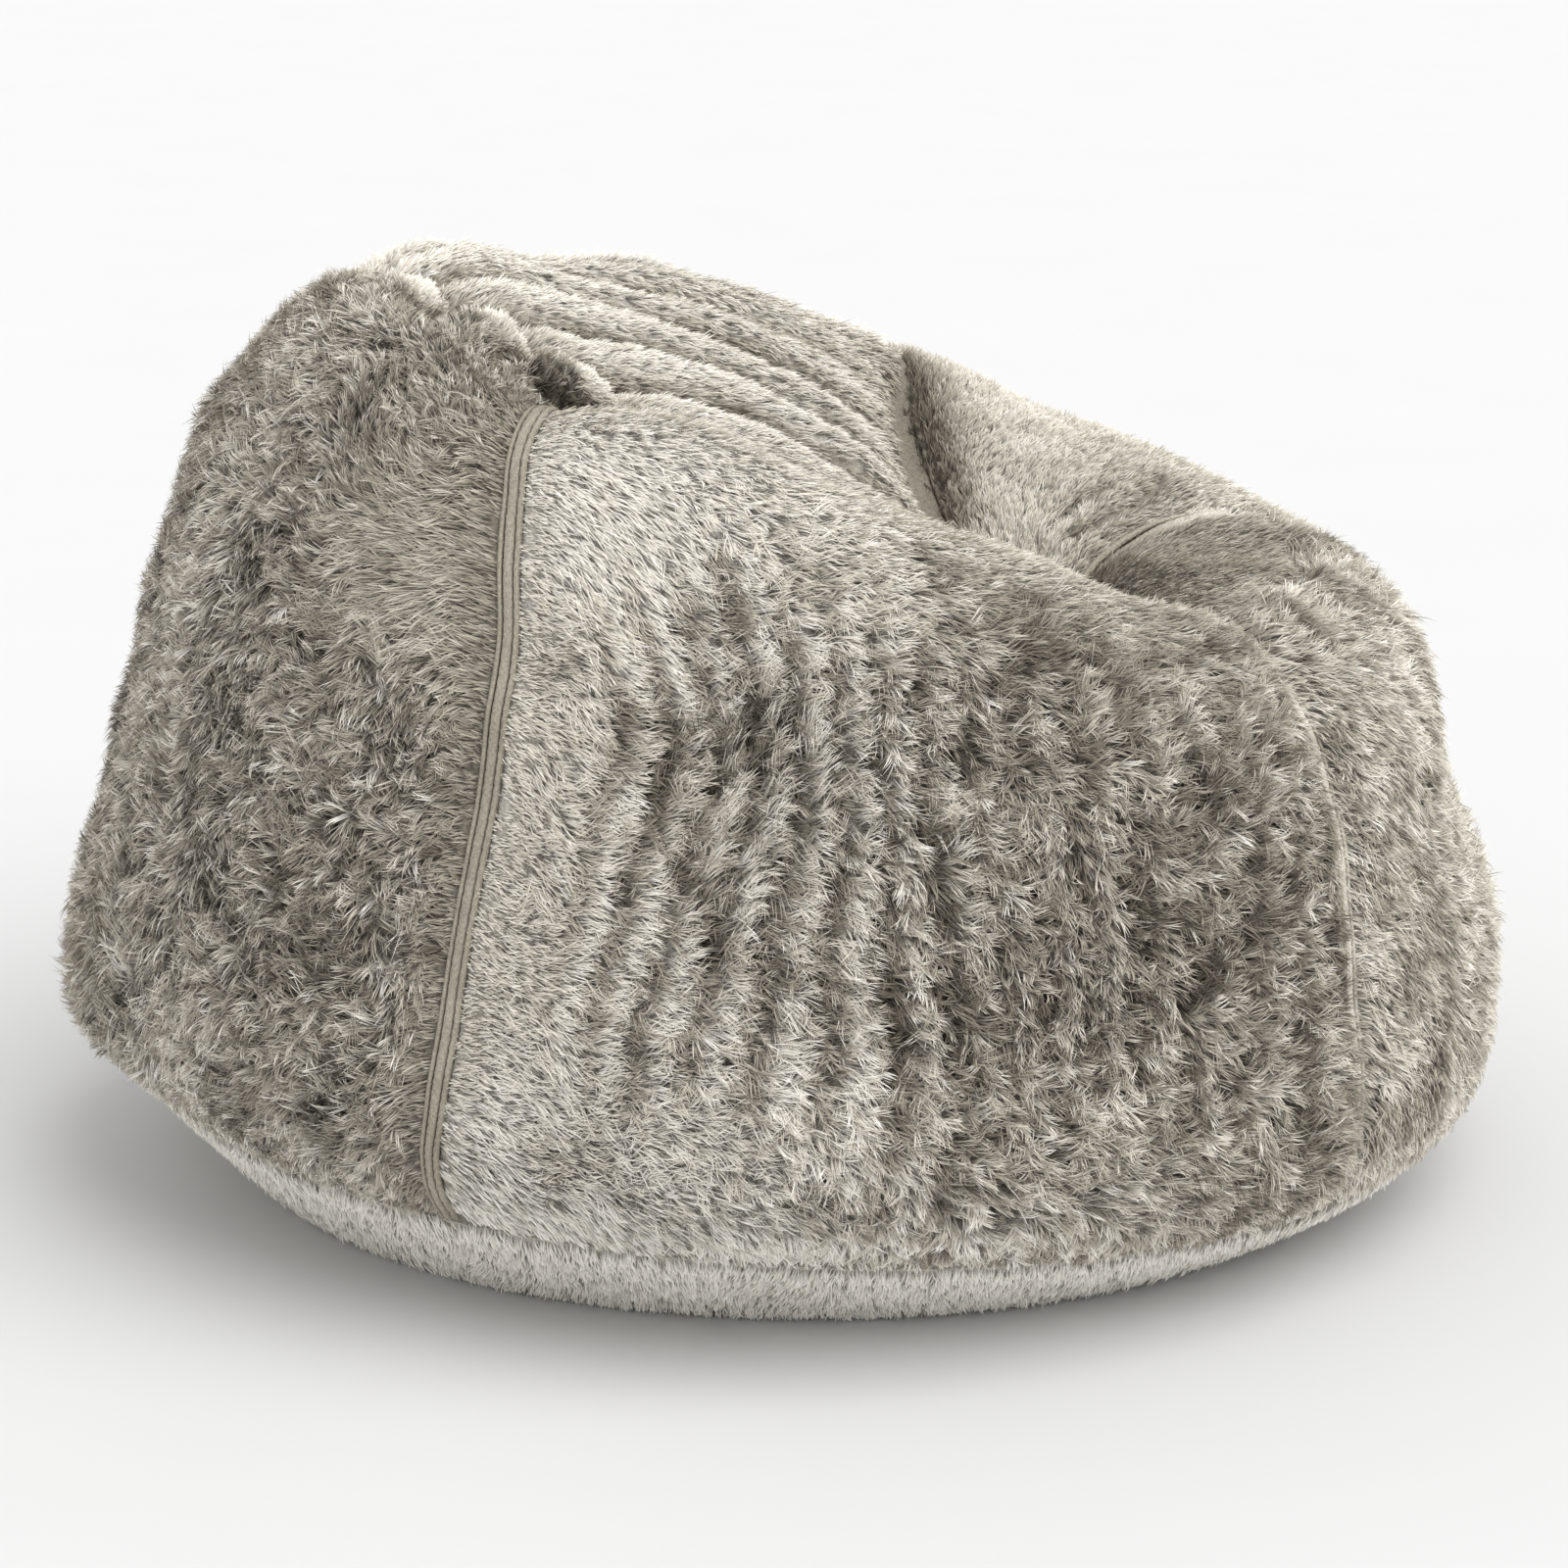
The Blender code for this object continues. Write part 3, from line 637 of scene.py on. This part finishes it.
def cap():
    """The small round panel at the bottom of the seat."""
    rings, around = 10, 48
    points = [surface(np.array([0.0]), np.array([LAST_SHARE]), PILE_DEPTH)[0][0]]
    share = np.repeat(1.0 - (1.0 - CAP_SHARE) * np.arange(1, rings + 1) / rings, around)
    azimuth = np.tile(np.linspace(-math.pi, math.pi, around, endpoint=False), rings)
    ring_points = surface(azimuth, share, PILE_DEPTH)[0]
    faces = [(0, 1 + (i + 1) % around, 1 + i) for i in range(around)]
    for a, b, c, d in grid_faces(around, rings, closed=True):
        faces.append((a + 1, d + 1, c + 1, b + 1))
    made = mesh_object("pelt_top_cap", np.vstack([points, ring_points]), faces, PELT)
    tint(made, np.full(len(ring_points) + 1, 0.5))
    shell(made, PELT_THICKNESS)
    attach(made, BODY)
    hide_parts("top_cap")
    return made


# ---- the pile ------------------------------------------------------------------------------------
BLADE_LENGTH = 0.0220
BLADE_WIDTH = 0.00105
BLADES_PER_CLUMP = 6
CLUMP_RADIUS = 0.0027
WISPS = 0.14                 # the share of clumps that catch the light
CELLS = 64                   # tone cells across the blades' map
MOST_BLADES = 38000          # to a piece, which keeps a piece under 200,000 triangles
NEAR_DENSITY = 300000.0      # blades to a square metre
FAR_DENSITY = 140000.0


def scatter(rng, low, high, share_low, share_high, density_of):
    """Clump centres over a patch, evenly by area: azimuths and shares."""
    cells_a, cells_s = 60, 90
    a = np.linspace(low, high, cells_a + 1)
    s = np.linspace(share_low, share_high, cells_s + 1)
    ga, gs = np.meshgrid((a[1:] + a[:-1]) / 2, (s[1:] + s[:-1]) / 2, indexing="ij")
    ga, gs = ga.ravel(), gs.ravel()
    da = (a[1] - a[0]) / 2
    dsh = (s[1] - s[0]) / 2
    side = plain_form(ga + da, gs) - plain_form(ga - da, gs)
    rise = plain_form(ga, gs + dsh) - plain_form(ga, gs - dsh)
    area = np.linalg.norm(np.cross(side, rise), axis=1)
    want = area * density_of(ga, gs) / BLADES_PER_CLUMP
    number = np.floor(want + rng.random(len(want))).astype(int)
    index = np.repeat(np.arange(len(want)), number)
    azimuth = ga[index] + da * rng.uniform(-1.0, 1.0, len(index))
    share = gs[index] + dsh * rng.uniform(-1.0, 1.0, len(index))
    return azimuth, np.clip(share, share_low, share_high)


class Pile:
    """How the pile lies at each clump: its angle in the surface (0 along azimuth, 90 degrees up the
    meridian), how much it stands up, its length, its tone and how wild it is."""

    def __init__(self, azimuth, share, points):
        self.degrees = wrapped(np.degrees(azimuth))
        self.share = share
        self.points = points
        self.k, self.u = across_gore(self.degrees)
        self.off = seam_distance(self.degrees, share)
        self.broad = wave_noise(points, 0.10, 31)
        self.medium = wave_noise(points, 0.045, 32)
        self.fine = wave_noise(points, 0.018, 33)
        self.tuft = wave_noise(points, 0.012, 37)
        # Where the seat's side hollow is, 0 to 1: the pile there is painted darker, painted shade.
        self.hollow = bell(self.degrees, -126.0, 24.0) * smooth(0.69, 0.73, share)
        n = len(share)
        self.angle = -75.0 + 25.0 * self.broad
        self.lift = np.full(n, 0.45)
        self.length = np.full(n, 1.0)
        # The tone is partly the pile's own colour and partly painted light and shade: lighter or
        # darker where the nap and the surface lie towards or away from the light.
        self.tone = np.full(n, 0.52)
        self.wild = np.full(n, 0.30)

    def set(self, here, **values):
        """Give new values to the clumps that are here."""
        for key, value in values.items():
            setattr(self, key, np.where(here, value, getattr(self, key)))

    def ease(self, amount, **values):
        """Bring values part of the way to new ones."""
        for key, value in values.items():
            now = getattr(self, key)
            setattr(self, key, now + (value - now) * amount)

    def scale(self, **factors):
        """Multiply values, everywhere."""
        for key, factor in factors.items():
            setattr(self, key, getattr(self, key) * factor)

    def turn(self, angle, amount):
        """Turn the pile part of the way to an angle, the short way round."""
        self.angle = self.angle + wrapped(angle - self.angle) * amount


def dark_gore(p):
    """The curly gore behind the sitter's right, painted dark as shade where it and its nap turn from
    the light, and smooth where it nears its front seam.
    """
    here = p.k == BACK_RIGHT
    # Its dark tone is painted shade of a side turned from the light, varied at random by tufts.
    dark = 0.42 + 0.12 * p.tuft + 0.06 * p.medium + 0.12 * bell(p.u, 0.52, 0.16)
    dark = dark + 0.07 * (1.0 - smooth(0.14, 0.30, p.share))
    swirl = -100.0 + 70.0 * p.broad + 90.0 * p.medium + 50.0 * p.fine
    p.set(here, angle=swirl, lift=0.70, tone=dark, wild=0.80)
    smoothed = np.where(here, smooth(0.62, 0.88, p.u) * bell(p.share, 0.55, 0.09), 0.0)
    p.turn(-175.0 + 15.0 * p.medium, smoothed)
    p.scale(lift=1.0 - 0.7 * smoothed, wild=1.0 - 0.8 * smoothed)
    p.ease(smoothed, tone=0.50 + 0.05 * p.medium)


def near_gore(p):
    """The wide near gore: combed from its rear seam, rippled in the middle, shaggy in front."""
    here = p.k == SIDE_RIGHT
    ripple = near_ripple(p.u, p.points)
    calm = 1.0 - smooth(0.08, 0.34, p.u)
    shag = smooth(0.34, 0.52, p.u)
    top = smooth(0.50, 0.62, p.share)
    low_part = 1.0 - smooth(0.14, 0.30, p.share)
    middle = smooth(0.06, 0.16, p.u) * (1.0 - smooth(0.40, 0.56, p.u))
    middle = middle * smooth(0.16, 0.25, p.share) * (1.0 - smooth(0.53, 0.63, p.share))

    flow = calm * (-6.0 + 22.0 * p.broad + 20.0 * p.fine)
    flow = flow + (1.0 - calm) * (-32.0 + 45.0 * p.broad + 40.0 * p.medium)
    flow = flow + 45.0 * p.fine * shag
    flow = flow * (1.0 - top) + top * (-22.0 + 25.0 * p.broad + 15.0 * p.medium)

    tone = 0.78 * calm + 0.61 * (1.0 - calm) * (1.0 - shag) + 0.41 * shag
    # Painted shade where the pile parts.
    parting_shade = smooth(0.45, 1.05, p.medium + 0.5 * p.fine)
    tone = tone - 0.26 * parting_shade * (1.0 - 0.5 * shag) + 0.14 * p.tuft * shag
    # The ripples' light and dark bands are painted light and shade.
    tone = tone + 0.30 * ripple * middle + 0.13 * ripple * shag * (1.0 - top)
    tone = tone + 0.26 * low_part * (1.0 - smooth(0.5, 0.9, p.u))
    # Lighter towards the top: painted light where the gore turns up to the light.
    tone = tone + 0.26 * top * (1.0 - 0.7 * smooth(0.44, 0.62, p.u))

    lift = 0.28 + 0.32 * (1.0 - calm) - 0.10 * top - 0.14 * ripple * middle
    wild = 0.14 + 0.46 * (1.0 - calm) - 0.20 * top - 0.15 * ripple * middle
    p.set(here, angle=flow, tone=tone, lift=lift, wild=wild)


def other_gores(p):
    """The front gore, in uneven columns, and the far ones."""
    column = np.tanh(1.3 * np.sin(p.degrees / 0.8 + 3.4 * wave_noise(p.points, 0.075, 35)))
    column = column * (0.55 + 0.45 * p.broad)
    tone = 0.57 - 0.08 * smooth(0.54, 0.62, p.share)
    tone = tone + 0.18 * column + 0.09 * p.medium + 0.11 * p.tuft
    p.set(p.k == FRONT, angle=-60.0 + 25.0 * p.broad + 35.0 * p.medium, tone=tone, lift=0.50,
          wild=0.42)
    p.set(p.k >= SIDE_LEFT, tone=0.66 + 0.08 * p.medium + 0.06 * p.tuft)


def seat_pile(p):
    """The seat: long pale pile, brushed down into the dip."""
    seat = smooth(0.62, 0.72, p.share)
    pale = seat * np.where(p.k == BACK_LEFT, 1.0, 0.35)
    behind = 1.0 - smooth(-160.0, -150.0, p.degrees + 3.0 * p.medium)
    # Less pale in the side hollow: painted shade there.
    fading = seat * (1.0 - p.hollow) * smooth(0.705, 0.735, p.share) * behind
    pale = np.where(p.k == BACK_RIGHT, fading, pale)
    pale = np.where(p.k == SIDE_RIGHT, 0.5 * seat, pale)
    brushed = np.where(p.k == BACK_LEFT, 155.0, np.where(p.k == BACK_RIGHT, 165.0, -105.0))
    p.turn(brushed + 14.0 * p.broad, np.where(p.k == SIDE_RIGHT, 0.0, smooth(0.66, 0.72, p.share)))
    p.ease(pale, tone=0.95, lift=0.30, wild=0.14)
    p.set((p.k == SIDE_LEFT) & (p.share > 0.66), tone=0.72 + 0.10 * p.medium)
    # Painted shade in the far panel's creases and down in the seams' valleys in the seat.
    p.tone = p.tone - 0.40 * panel_crease(p.degrees, p.share)
    p.tone = p.tone - 0.35 * np.exp(-p.off / 0.016) * smooth(0.70, 0.76, p.share)
    panel = np.where(p.k == FRONT, smooth(0.655, 0.675, p.share), 0.0)
    # Darker the deeper into the seat: painted shade.
    depth_shade = np.maximum(p.share - SEAT_START, 0.0)
    p.ease(panel, tone=0.52 + 0.05 * p.medium - 0.9 * depth_shade, lift=0.22, wild=0.14)
    # Painted shade in the front fold.
    p.tone = p.tone - 0.30 * front_fold(p.degrees, p.share)
    p.scale(length=1.0 - 0.35 * seat)


def beside_seams(p):
    """Beside a seam the pile is short, flat and brushed away from it."""
    rear = (p.k == BACK_RIGHT) | (p.k == SIDE_RIGHT) & (p.u < 0.5)
    outside = p.share < SEAT_START
    beside = np.exp(-(p.off / np.where(rear, 0.030, 0.016)) ** 4) * np.where(outside, 1.0, 0.15)
    beside = beside * np.where(rear, 1.0, 0.45)
    p.turn(np.where(p.u < 0.5, 0.0, 180.0) + 10.0 * p.medium, beside)
    p.ease(np.where(outside, 0.7 * beside, 0.0), tone=np.where(p.k == BACK_RIGHT, 0.38, 0.78))
    p.scale(lift=1.0 - 0.72 * beside, wild=1.0 - 0.8 * beside, length=1.0 - 0.3 * beside)
    p.scale(length=1.0 - np.where(outside, 0.60, 0.15) * np.exp(-(p.off / 0.010) ** 2))


def down_in_folds(p):
    """Painted shade down in the folds of the seat, in the pocket and the hollow at its side and
    along the far seam; a longer brow over the pocket.
    """
    inner = (p.k == BACK_LEFT) | (p.k == BACK_RIGHT) & (p.share > 0.69)
    fold_shade = (1.0 - gather_crest(p.degrees, p.share, p.points)) ** 2
    fold_shade = fold_shade * gather_room(p.degrees, p.share) * inner
    # Painted shade in the pocket and along the far seam.
    pocket = 0.50 * bell(p.degrees, -110.0, 11.0) * bell(p.share, 0.735, 0.035)
    pocket = pocket + 0.45 * bell(p.degrees, -147.0, 6.0) * bell(p.share, 0.826, 0.018)
    far_seam_shade = 0.25 * bell(p.degrees, SEAMS[LEFT_REAR], 9.0) * smooth(0.70, 0.74, p.share)
    p.tone = p.tone - 0.85 * fold_shade - pocket - far_seam_shade
    p.tone = p.tone - 0.24 * np.where(p.k == BACK_RIGHT, p.hollow, 0.0)
    brow = bell(p.share, 0.70, 0.05) * bell(p.degrees, -140.0, 16.0)
    p.scale(length=1.0 + 0.35 * np.where(p.k == BACK_RIGHT, brow, 0.0))


def at_the_ends(p):
    """Above the base seam the pile is shorter, hangs down and is paler. At the bottom of the seat it
    stands up a little, where the panels meet."""
    foot = np.exp(-((p.share - SEAM_SHARE) / 0.030) ** 2)
    p.turn(-80.0, foot * np.where(p.k == SIDE_RIGHT, 0.55, 0.8))
    p.tone = p.tone + 0.05 * foot
    p.scale(lift=1.0 - 0.5 * foot, length=(1.0 + 0.14 * p.broad) * (1.0 - 0.45 * foot))
    p.ease(smooth(0.88, 0.95, p.share), tone=0.52 + 0.06 * p.medium, lift=0.50)
    p.turn(70.0, smooth(0.94, 0.97, p.share))


def comb(azimuth, share, points):
    """The gores' pile: angle in radians, lift, length, tone and wildness of each clump."""
    p = Pile(azimuth, share, points)
    for step in (dark_gore, near_gore, other_gores, seat_pile, beside_seams, down_in_folds,
                 at_the_ends):
        step(p)
    return np.radians(p.angle), p.lift, p.length, np.clip(p.tone, 0.02, 0.98), p.wild


def near_ripple(u, points):
    """Standing waves in the near gore's pile, from its rear seam to its front one."""
    phase = 2.4 * wave_noise(points, 0.085, 34) + 2.0 * wave_noise(points, 0.3, 38)
    return np.tanh(1.6 * np.sin(112.0 * u + phase))


def base_comb(azimuth, share, points):
    """The base's own pile, short, pale and combed down."""
    medium = wave_noise(points, 0.04, 36)
    n = len(azimuth)
    angle = np.radians(-88.0 + 22.0 * medium)
    return angle, np.full(n, 0.26), np.full(n, 0.55), 0.97 + 0.05 * medium, np.full(n, 0.16)


def blades(name, centres, look, seed, folded=True):
    """Pieces of pile: clumps of tapering blades whose tips draw together."""
    rng = np.random.default_rng(seed)
    azimuth, share = centres
    if folded:
        points, normal, along, up = surface(azimuth, share, pile_depth(share) - 0.001)
    else:
        points, normal, along, up = base_surface(azimuth, share)
    angle, lift, length, tone, wild = look(azimuth, share, points)
    n = len(azimuth)
    angle = angle + rng.normal(0.0, 1.0, n) * wild
    lie = along * np.cos(angle)[:, None] + up * np.sin(angle)[:, None]
    rise = np.clip(lift * rng.uniform(0.65, 1.35, n), 0.08, 1.2)
    clump_end = unit(lie + normal * (rise * 0.55)[:, None])
    clump_start = unit(lie * 0.55 + normal * (rise + 0.45)[:, None])
    clump_length = BLADE_LENGTH * length * rng.uniform(0.80, 1.25, n)
    tone = tone + rng.normal(0.0, 1.0, n) * (0.03 + 0.16 * wild)
    tone = tone + np.where(rng.random(n) < WISPS, 0.38, 0.0) * wild
    bend = rng.normal(0.0, 1.0, n) * 0.42 * (0.12 + wild)

    b = BLADES_PER_CLUMP
    index = np.repeat(np.arange(n), b)
    m = len(index)
    spot = rng.normal(0.0, 1.0, (m, 2)) * CLUMP_RADIUS * 0.75
    root = points[index] + along[index] * spot[:, :1] + up[index] * spot[:, 1:]
    root = root - normal[index] * 0.0012
    own = rng.normal(0.0, 0.26, (m, 3)) * (0.5 + wild[index])[:, None]
    start = unit(clump_start[index] + own * 0.6)
    end = unit(clump_end[index] + own)
    size = clump_length[index] * rng.uniform(0.72, 1.12, m)
    clump_tip = points + clump_length[:, None] * 0.5 * (clump_start + clump_end)
    tip = root + size[:, None] * 0.5 * (start + end)
    drawn = rng.uniform(0.45, 0.95, m) * np.clip(0.20 + 1.4 * wild[index], 0.0, 1.0)
    gather = (clump_tip[index] - tip) * drawn[:, None]
    side0 = unit(np.cross(end, normal[index]))
    twist = rng.normal(0.0, 0.55, m)
    side = unit(side0 * np.cos(twist)[:, None] + normal[index] * np.sin(twist)[:, None])
    curl = size * (bend[index] + rng.normal(0.0, 0.08, m))
    # Blades that lie flat get less of the painted root shade: their map starts further along the
    # ramp.
    flat = np.clip(1.0 - 1.6 * lift[index], 0.0, 1.0) * 0.40
    width = BLADE_WIDTH * rng.uniform(0.75, 1.25, m)
    blade_tone = np.clip(tone[index] + rng.normal(0.0, 0.06, m), 0.01, 0.985)

    def spine(t):
        path = root + size[:, None] * ((t - t * t / 2) * start + t * t / 2 * end)
        path = path + gather * t ** 1.4 + side0 * (curl * t * t)[:, None]
        return path

    # along the blade, its width there, and its place on the map
    cuts = ((0.0, 0.85, 0.02), (0.42, 1.0, 0.42), (0.78, 0.62, 0.78))
    rows = []
    for t, share_of_width, _ in cuts:
        middle = spine(t)
        half = side * (width * share_of_width / 2.0)[:, None]
        rows += [middle - half, middle + half]
    rows.append(spine(1.0))
    verts = np.stack(rows, axis=1)          # blades, 7, 3
    verts[:, :, 2] = np.maximum(verts[:, :, 2], 0.0008)

    cell = np.floor(blade_tone * CELLS)
    left, right = (cell + 0.12) / CELLS, (cell + 0.88) / CELLS
    uv = np.empty((m, 7, 2))
    for j, (_, _, v) in enumerate(cuts):
        uv[:, 2 * j, 0], uv[:, 2 * j + 1, 0] = left, right
        uv[:, 2 * j:2 * j + 2, 1] = (flat + (1.0 - flat) * v)[:, None]
    uv[:, 6, 0], uv[:, 6, 1] = (left + right) / 2, 0.98

    order = np.array([0, 1, 3, 2, 2, 3, 5, 4, 4, 5, 6])
    parts = max(1, math.ceil(m / MOST_BLADES))
    which = np.argsort(azimuth[index], kind="stable")
    for part, chosen in enumerate(np.array_split(which, parts)):
        c = len(chosen)
        mesh = bpy.data.meshes.new(name)
        mesh.vertices.add(c * 7)
        mesh.vertices.foreach_set("co", verts[chosen].astype(np.float32).ravel())
        mesh.loops.add(c * 11)
        loops = (np.arange(c)[:, None] * 7 + order).ravel()
        mesh.loops.foreach_set("vertex_index", loops.astype(np.int32))
        mesh.polygons.add(c * 3)
        starts = (np.arange(c)[:, None] * 11 + np.array([0, 4, 8])).ravel()
        mesh.polygons.foreach_set("loop_start", starts.astype(np.int32))
        layer = mesh.uv_layers.new(name="OFBake")
        layer.data.foreach_set("uv", uv[chosen][:, order].astype(np.float32).ravel())
        mesh.materials.append(FUR)
        mesh.polygons.foreach_set("use_smooth", np.ones(c * 3, bool))
        mesh.update(calc_edges=True)
        made = bpy.data.objects.new(f"{name}_{part + 1}", mesh)
        bpy.context.scene.collection.objects.link(made)
        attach(made, BODY)


def thinning(azimuth, share):
    """Blades to a square metre: fewer on the far side."""
    degrees = wrapped(np.degrees(azimuth))
    near = bell(wrapped(degrees + 79.0), 0.0, 85.0)
    near = np.where(share > 0.6, np.maximum(near, 0.9), near)
    amount = FAR_DENSITY + (NEAR_DENSITY - FAR_DENSITY) * smooth(0.25, 0.75, near)
    return amount * 1.0


def grow_pile():
    """Blades on the gores, the top cap and the base. A strip beside each seam stays bare."""
    rng = np.random.default_rng(7)
    for index, name in enumerate(GORES):
        low, high = np.radians(SEAMS[index]), np.radians(SEAMS[index + 1])
        azimuth, share = scatter(rng, low, high, SEAM_SHARE + 0.003, CAP_SHARE, thinning)
        off = seam_distance(np.degrees(azimuth), share)
        rear = np.abs(wrapped(np.degrees(azimuth) - SEAMS[RIGHT_REAR])) < 15.0
        keep = off > np.where(rear & (share < SEAT_START), 0.0042, 0.0014)
        blades("pile_" + name, (azimuth[keep], share[keep]), comb, 100 + index)
    azimuth, share = scatter(rng, -math.pi, math.pi, CAP_SHARE, 0.995, thinning)
    blades("pile_top_cap", (azimuth, share), comb, 110)
    azimuth, share = scatter(rng, -math.pi, math.pi, 0.004, 0.0570, thinning)
    blades("pile_base", (azimuth, share), base_comb, 111, folded=False)


# ---- inside --------------------------------------------------------------------------------------
def inner_skin(name, nodes, depth, share_low, share_high, material, thickness, wrinkle):
    """A closed form at some depth inside the cover: a thin bag, or a solid one without thickness."""
    columns, rows = 140, 90
    share = np.repeat(np.linspace(share_low, share_high, rows), columns)
    azimuth = np.tile(np.linspace(-math.pi, math.pi, columns, endpoint=False), rows)
    share = np.clip(share, 0.01, 0.985)
    points, normal, _, _ = base_surface(azimuth, share)
    depth = depth + 0.030 * smooth(0.55, 0.70, share) - folds(azimuth, share)
    points = points - normal * (depth + wrinkle * (1.0 + wave_noise(points, 0.03, 51)))[:, None]
    points[:, 2] = np.maximum(points[:, 2], depth[0])
    faces = grid_faces(columns, rows, closed=True)
    faces.append(tuple(range((rows - 1) * columns, rows * columns)))
    if not thickness:
        faces.append(tuple(reversed(range(columns))))
    made = mesh_object(name, points, faces, material)
    if thickness:
        shell(made, thickness)
    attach(made, BODY)
    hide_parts(*nodes)
    return made


def build_inside():
    """The liner and the beads in it."""
    inner_skin("liner_bag", ("liner_wall", "liner_top"), 0.0180, 0.055, 0.985, LINER,
               0.0006, 0.0012)
    heap = inner_skin("bead_heap", ("bead_fill",), 0.0250, 0.02, 0.985, BEADS,
                      0.0, 0.0006)


def dress_frame():
    """Better materials on the CAD nodes that stay."""
    looks = {"base": BASE, "liner_base": LINER, "zip_tape": TAPE, "liner_zip_tape": LINER,
             "zip_teeth": NYLON, "liner_zip_teeth": NYLON, "zip_stop": METAL,
             "liner_zip_stop": METAL, "zip_slider": METAL, "liner_zip_slider": METAL,
             "zip_pull_tab": METAL}
    for node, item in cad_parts.items():
        for start in sorted(looks, key=len, reverse=True):
            if node.startswith(start):
                for place in range(len(item.material_slots)):
                    item.material_slots[place].material = looks[start]
                break


# ---- studio --------------------------------------------------------------------------------------
AZIMUTH, ELEVATION, DISTANCE = -79.0, 14.5, 3.25
AIM_HEIGHT = 0.30
FOCAL = 95.6
SHIFT_X, SHIFT_Y = -0.002, -0.013


def studio():
    """Floor, light and the photograph's camera."""
    floor_size = 60.0
    bpy.ops.mesh.primitive_plane_add(size=floor_size, location=(0.0, 0.0, 0.0))
    floor = bpy.context.object
    floor.name = "floor"
    floor.data.materials.append(floor_material())

    world = bpy.data.worlds.new("studio_world")
    bpy.context.scene.world = world
    world.use_nodes = True
    background = world.node_tree.nodes["Background"]
    background.inputs["Color"].default_value = (1.0, 1.0, 1.0, 1.0)
    background.inputs["Strength"].default_value = 0.86

    light = bpy.data.lights.new("key", "SUN")
    light.energy = 1.75
    light.angle = math.radians(60.0)
    lamp = bpy.data.objects.new("key", light)
    bpy.context.scene.collection.objects.link(lamp)
    lamp.rotation_mode = "QUATERNION"
    lamp.rotation_quaternion = Vector((0.45, 0.9, -1.5)).to_track_quat("-Z", "Y")

    a, e = math.radians(AZIMUTH), math.radians(ELEVATION)
    back = Vector((math.sin(a) * math.cos(e), -math.cos(a) * math.cos(e), math.sin(e)))
    camera = bpy.data.cameras.new("camera")
    camera.lens = FOCAL
    camera.sensor_width = 36.0
    camera.shift_x, camera.shift_y = SHIFT_X, SHIFT_Y
    eye = bpy.data.objects.new("camera", camera)
    bpy.context.scene.collection.objects.link(eye)
    eye.location = Vector((0.0, 0.0, AIM_HEIGHT)) + back * DISTANCE
    eye.rotation_mode = "QUATERNION"
    eye.rotation_quaternion = (-back).to_track_quat("-Z", "Y")
    bpy.context.scene.camera = eye
    bpy.context.scene.view_settings.view_transform = "Standard"


def main():
    """Dress the frame: cover, pile, inside, materials, studio."""
    for gore in range(5):
        pelt(gore)
        seam_band(gore)
    cap()
    grow_pile()
    build_inside()
    dress_frame()
    studio()


main()
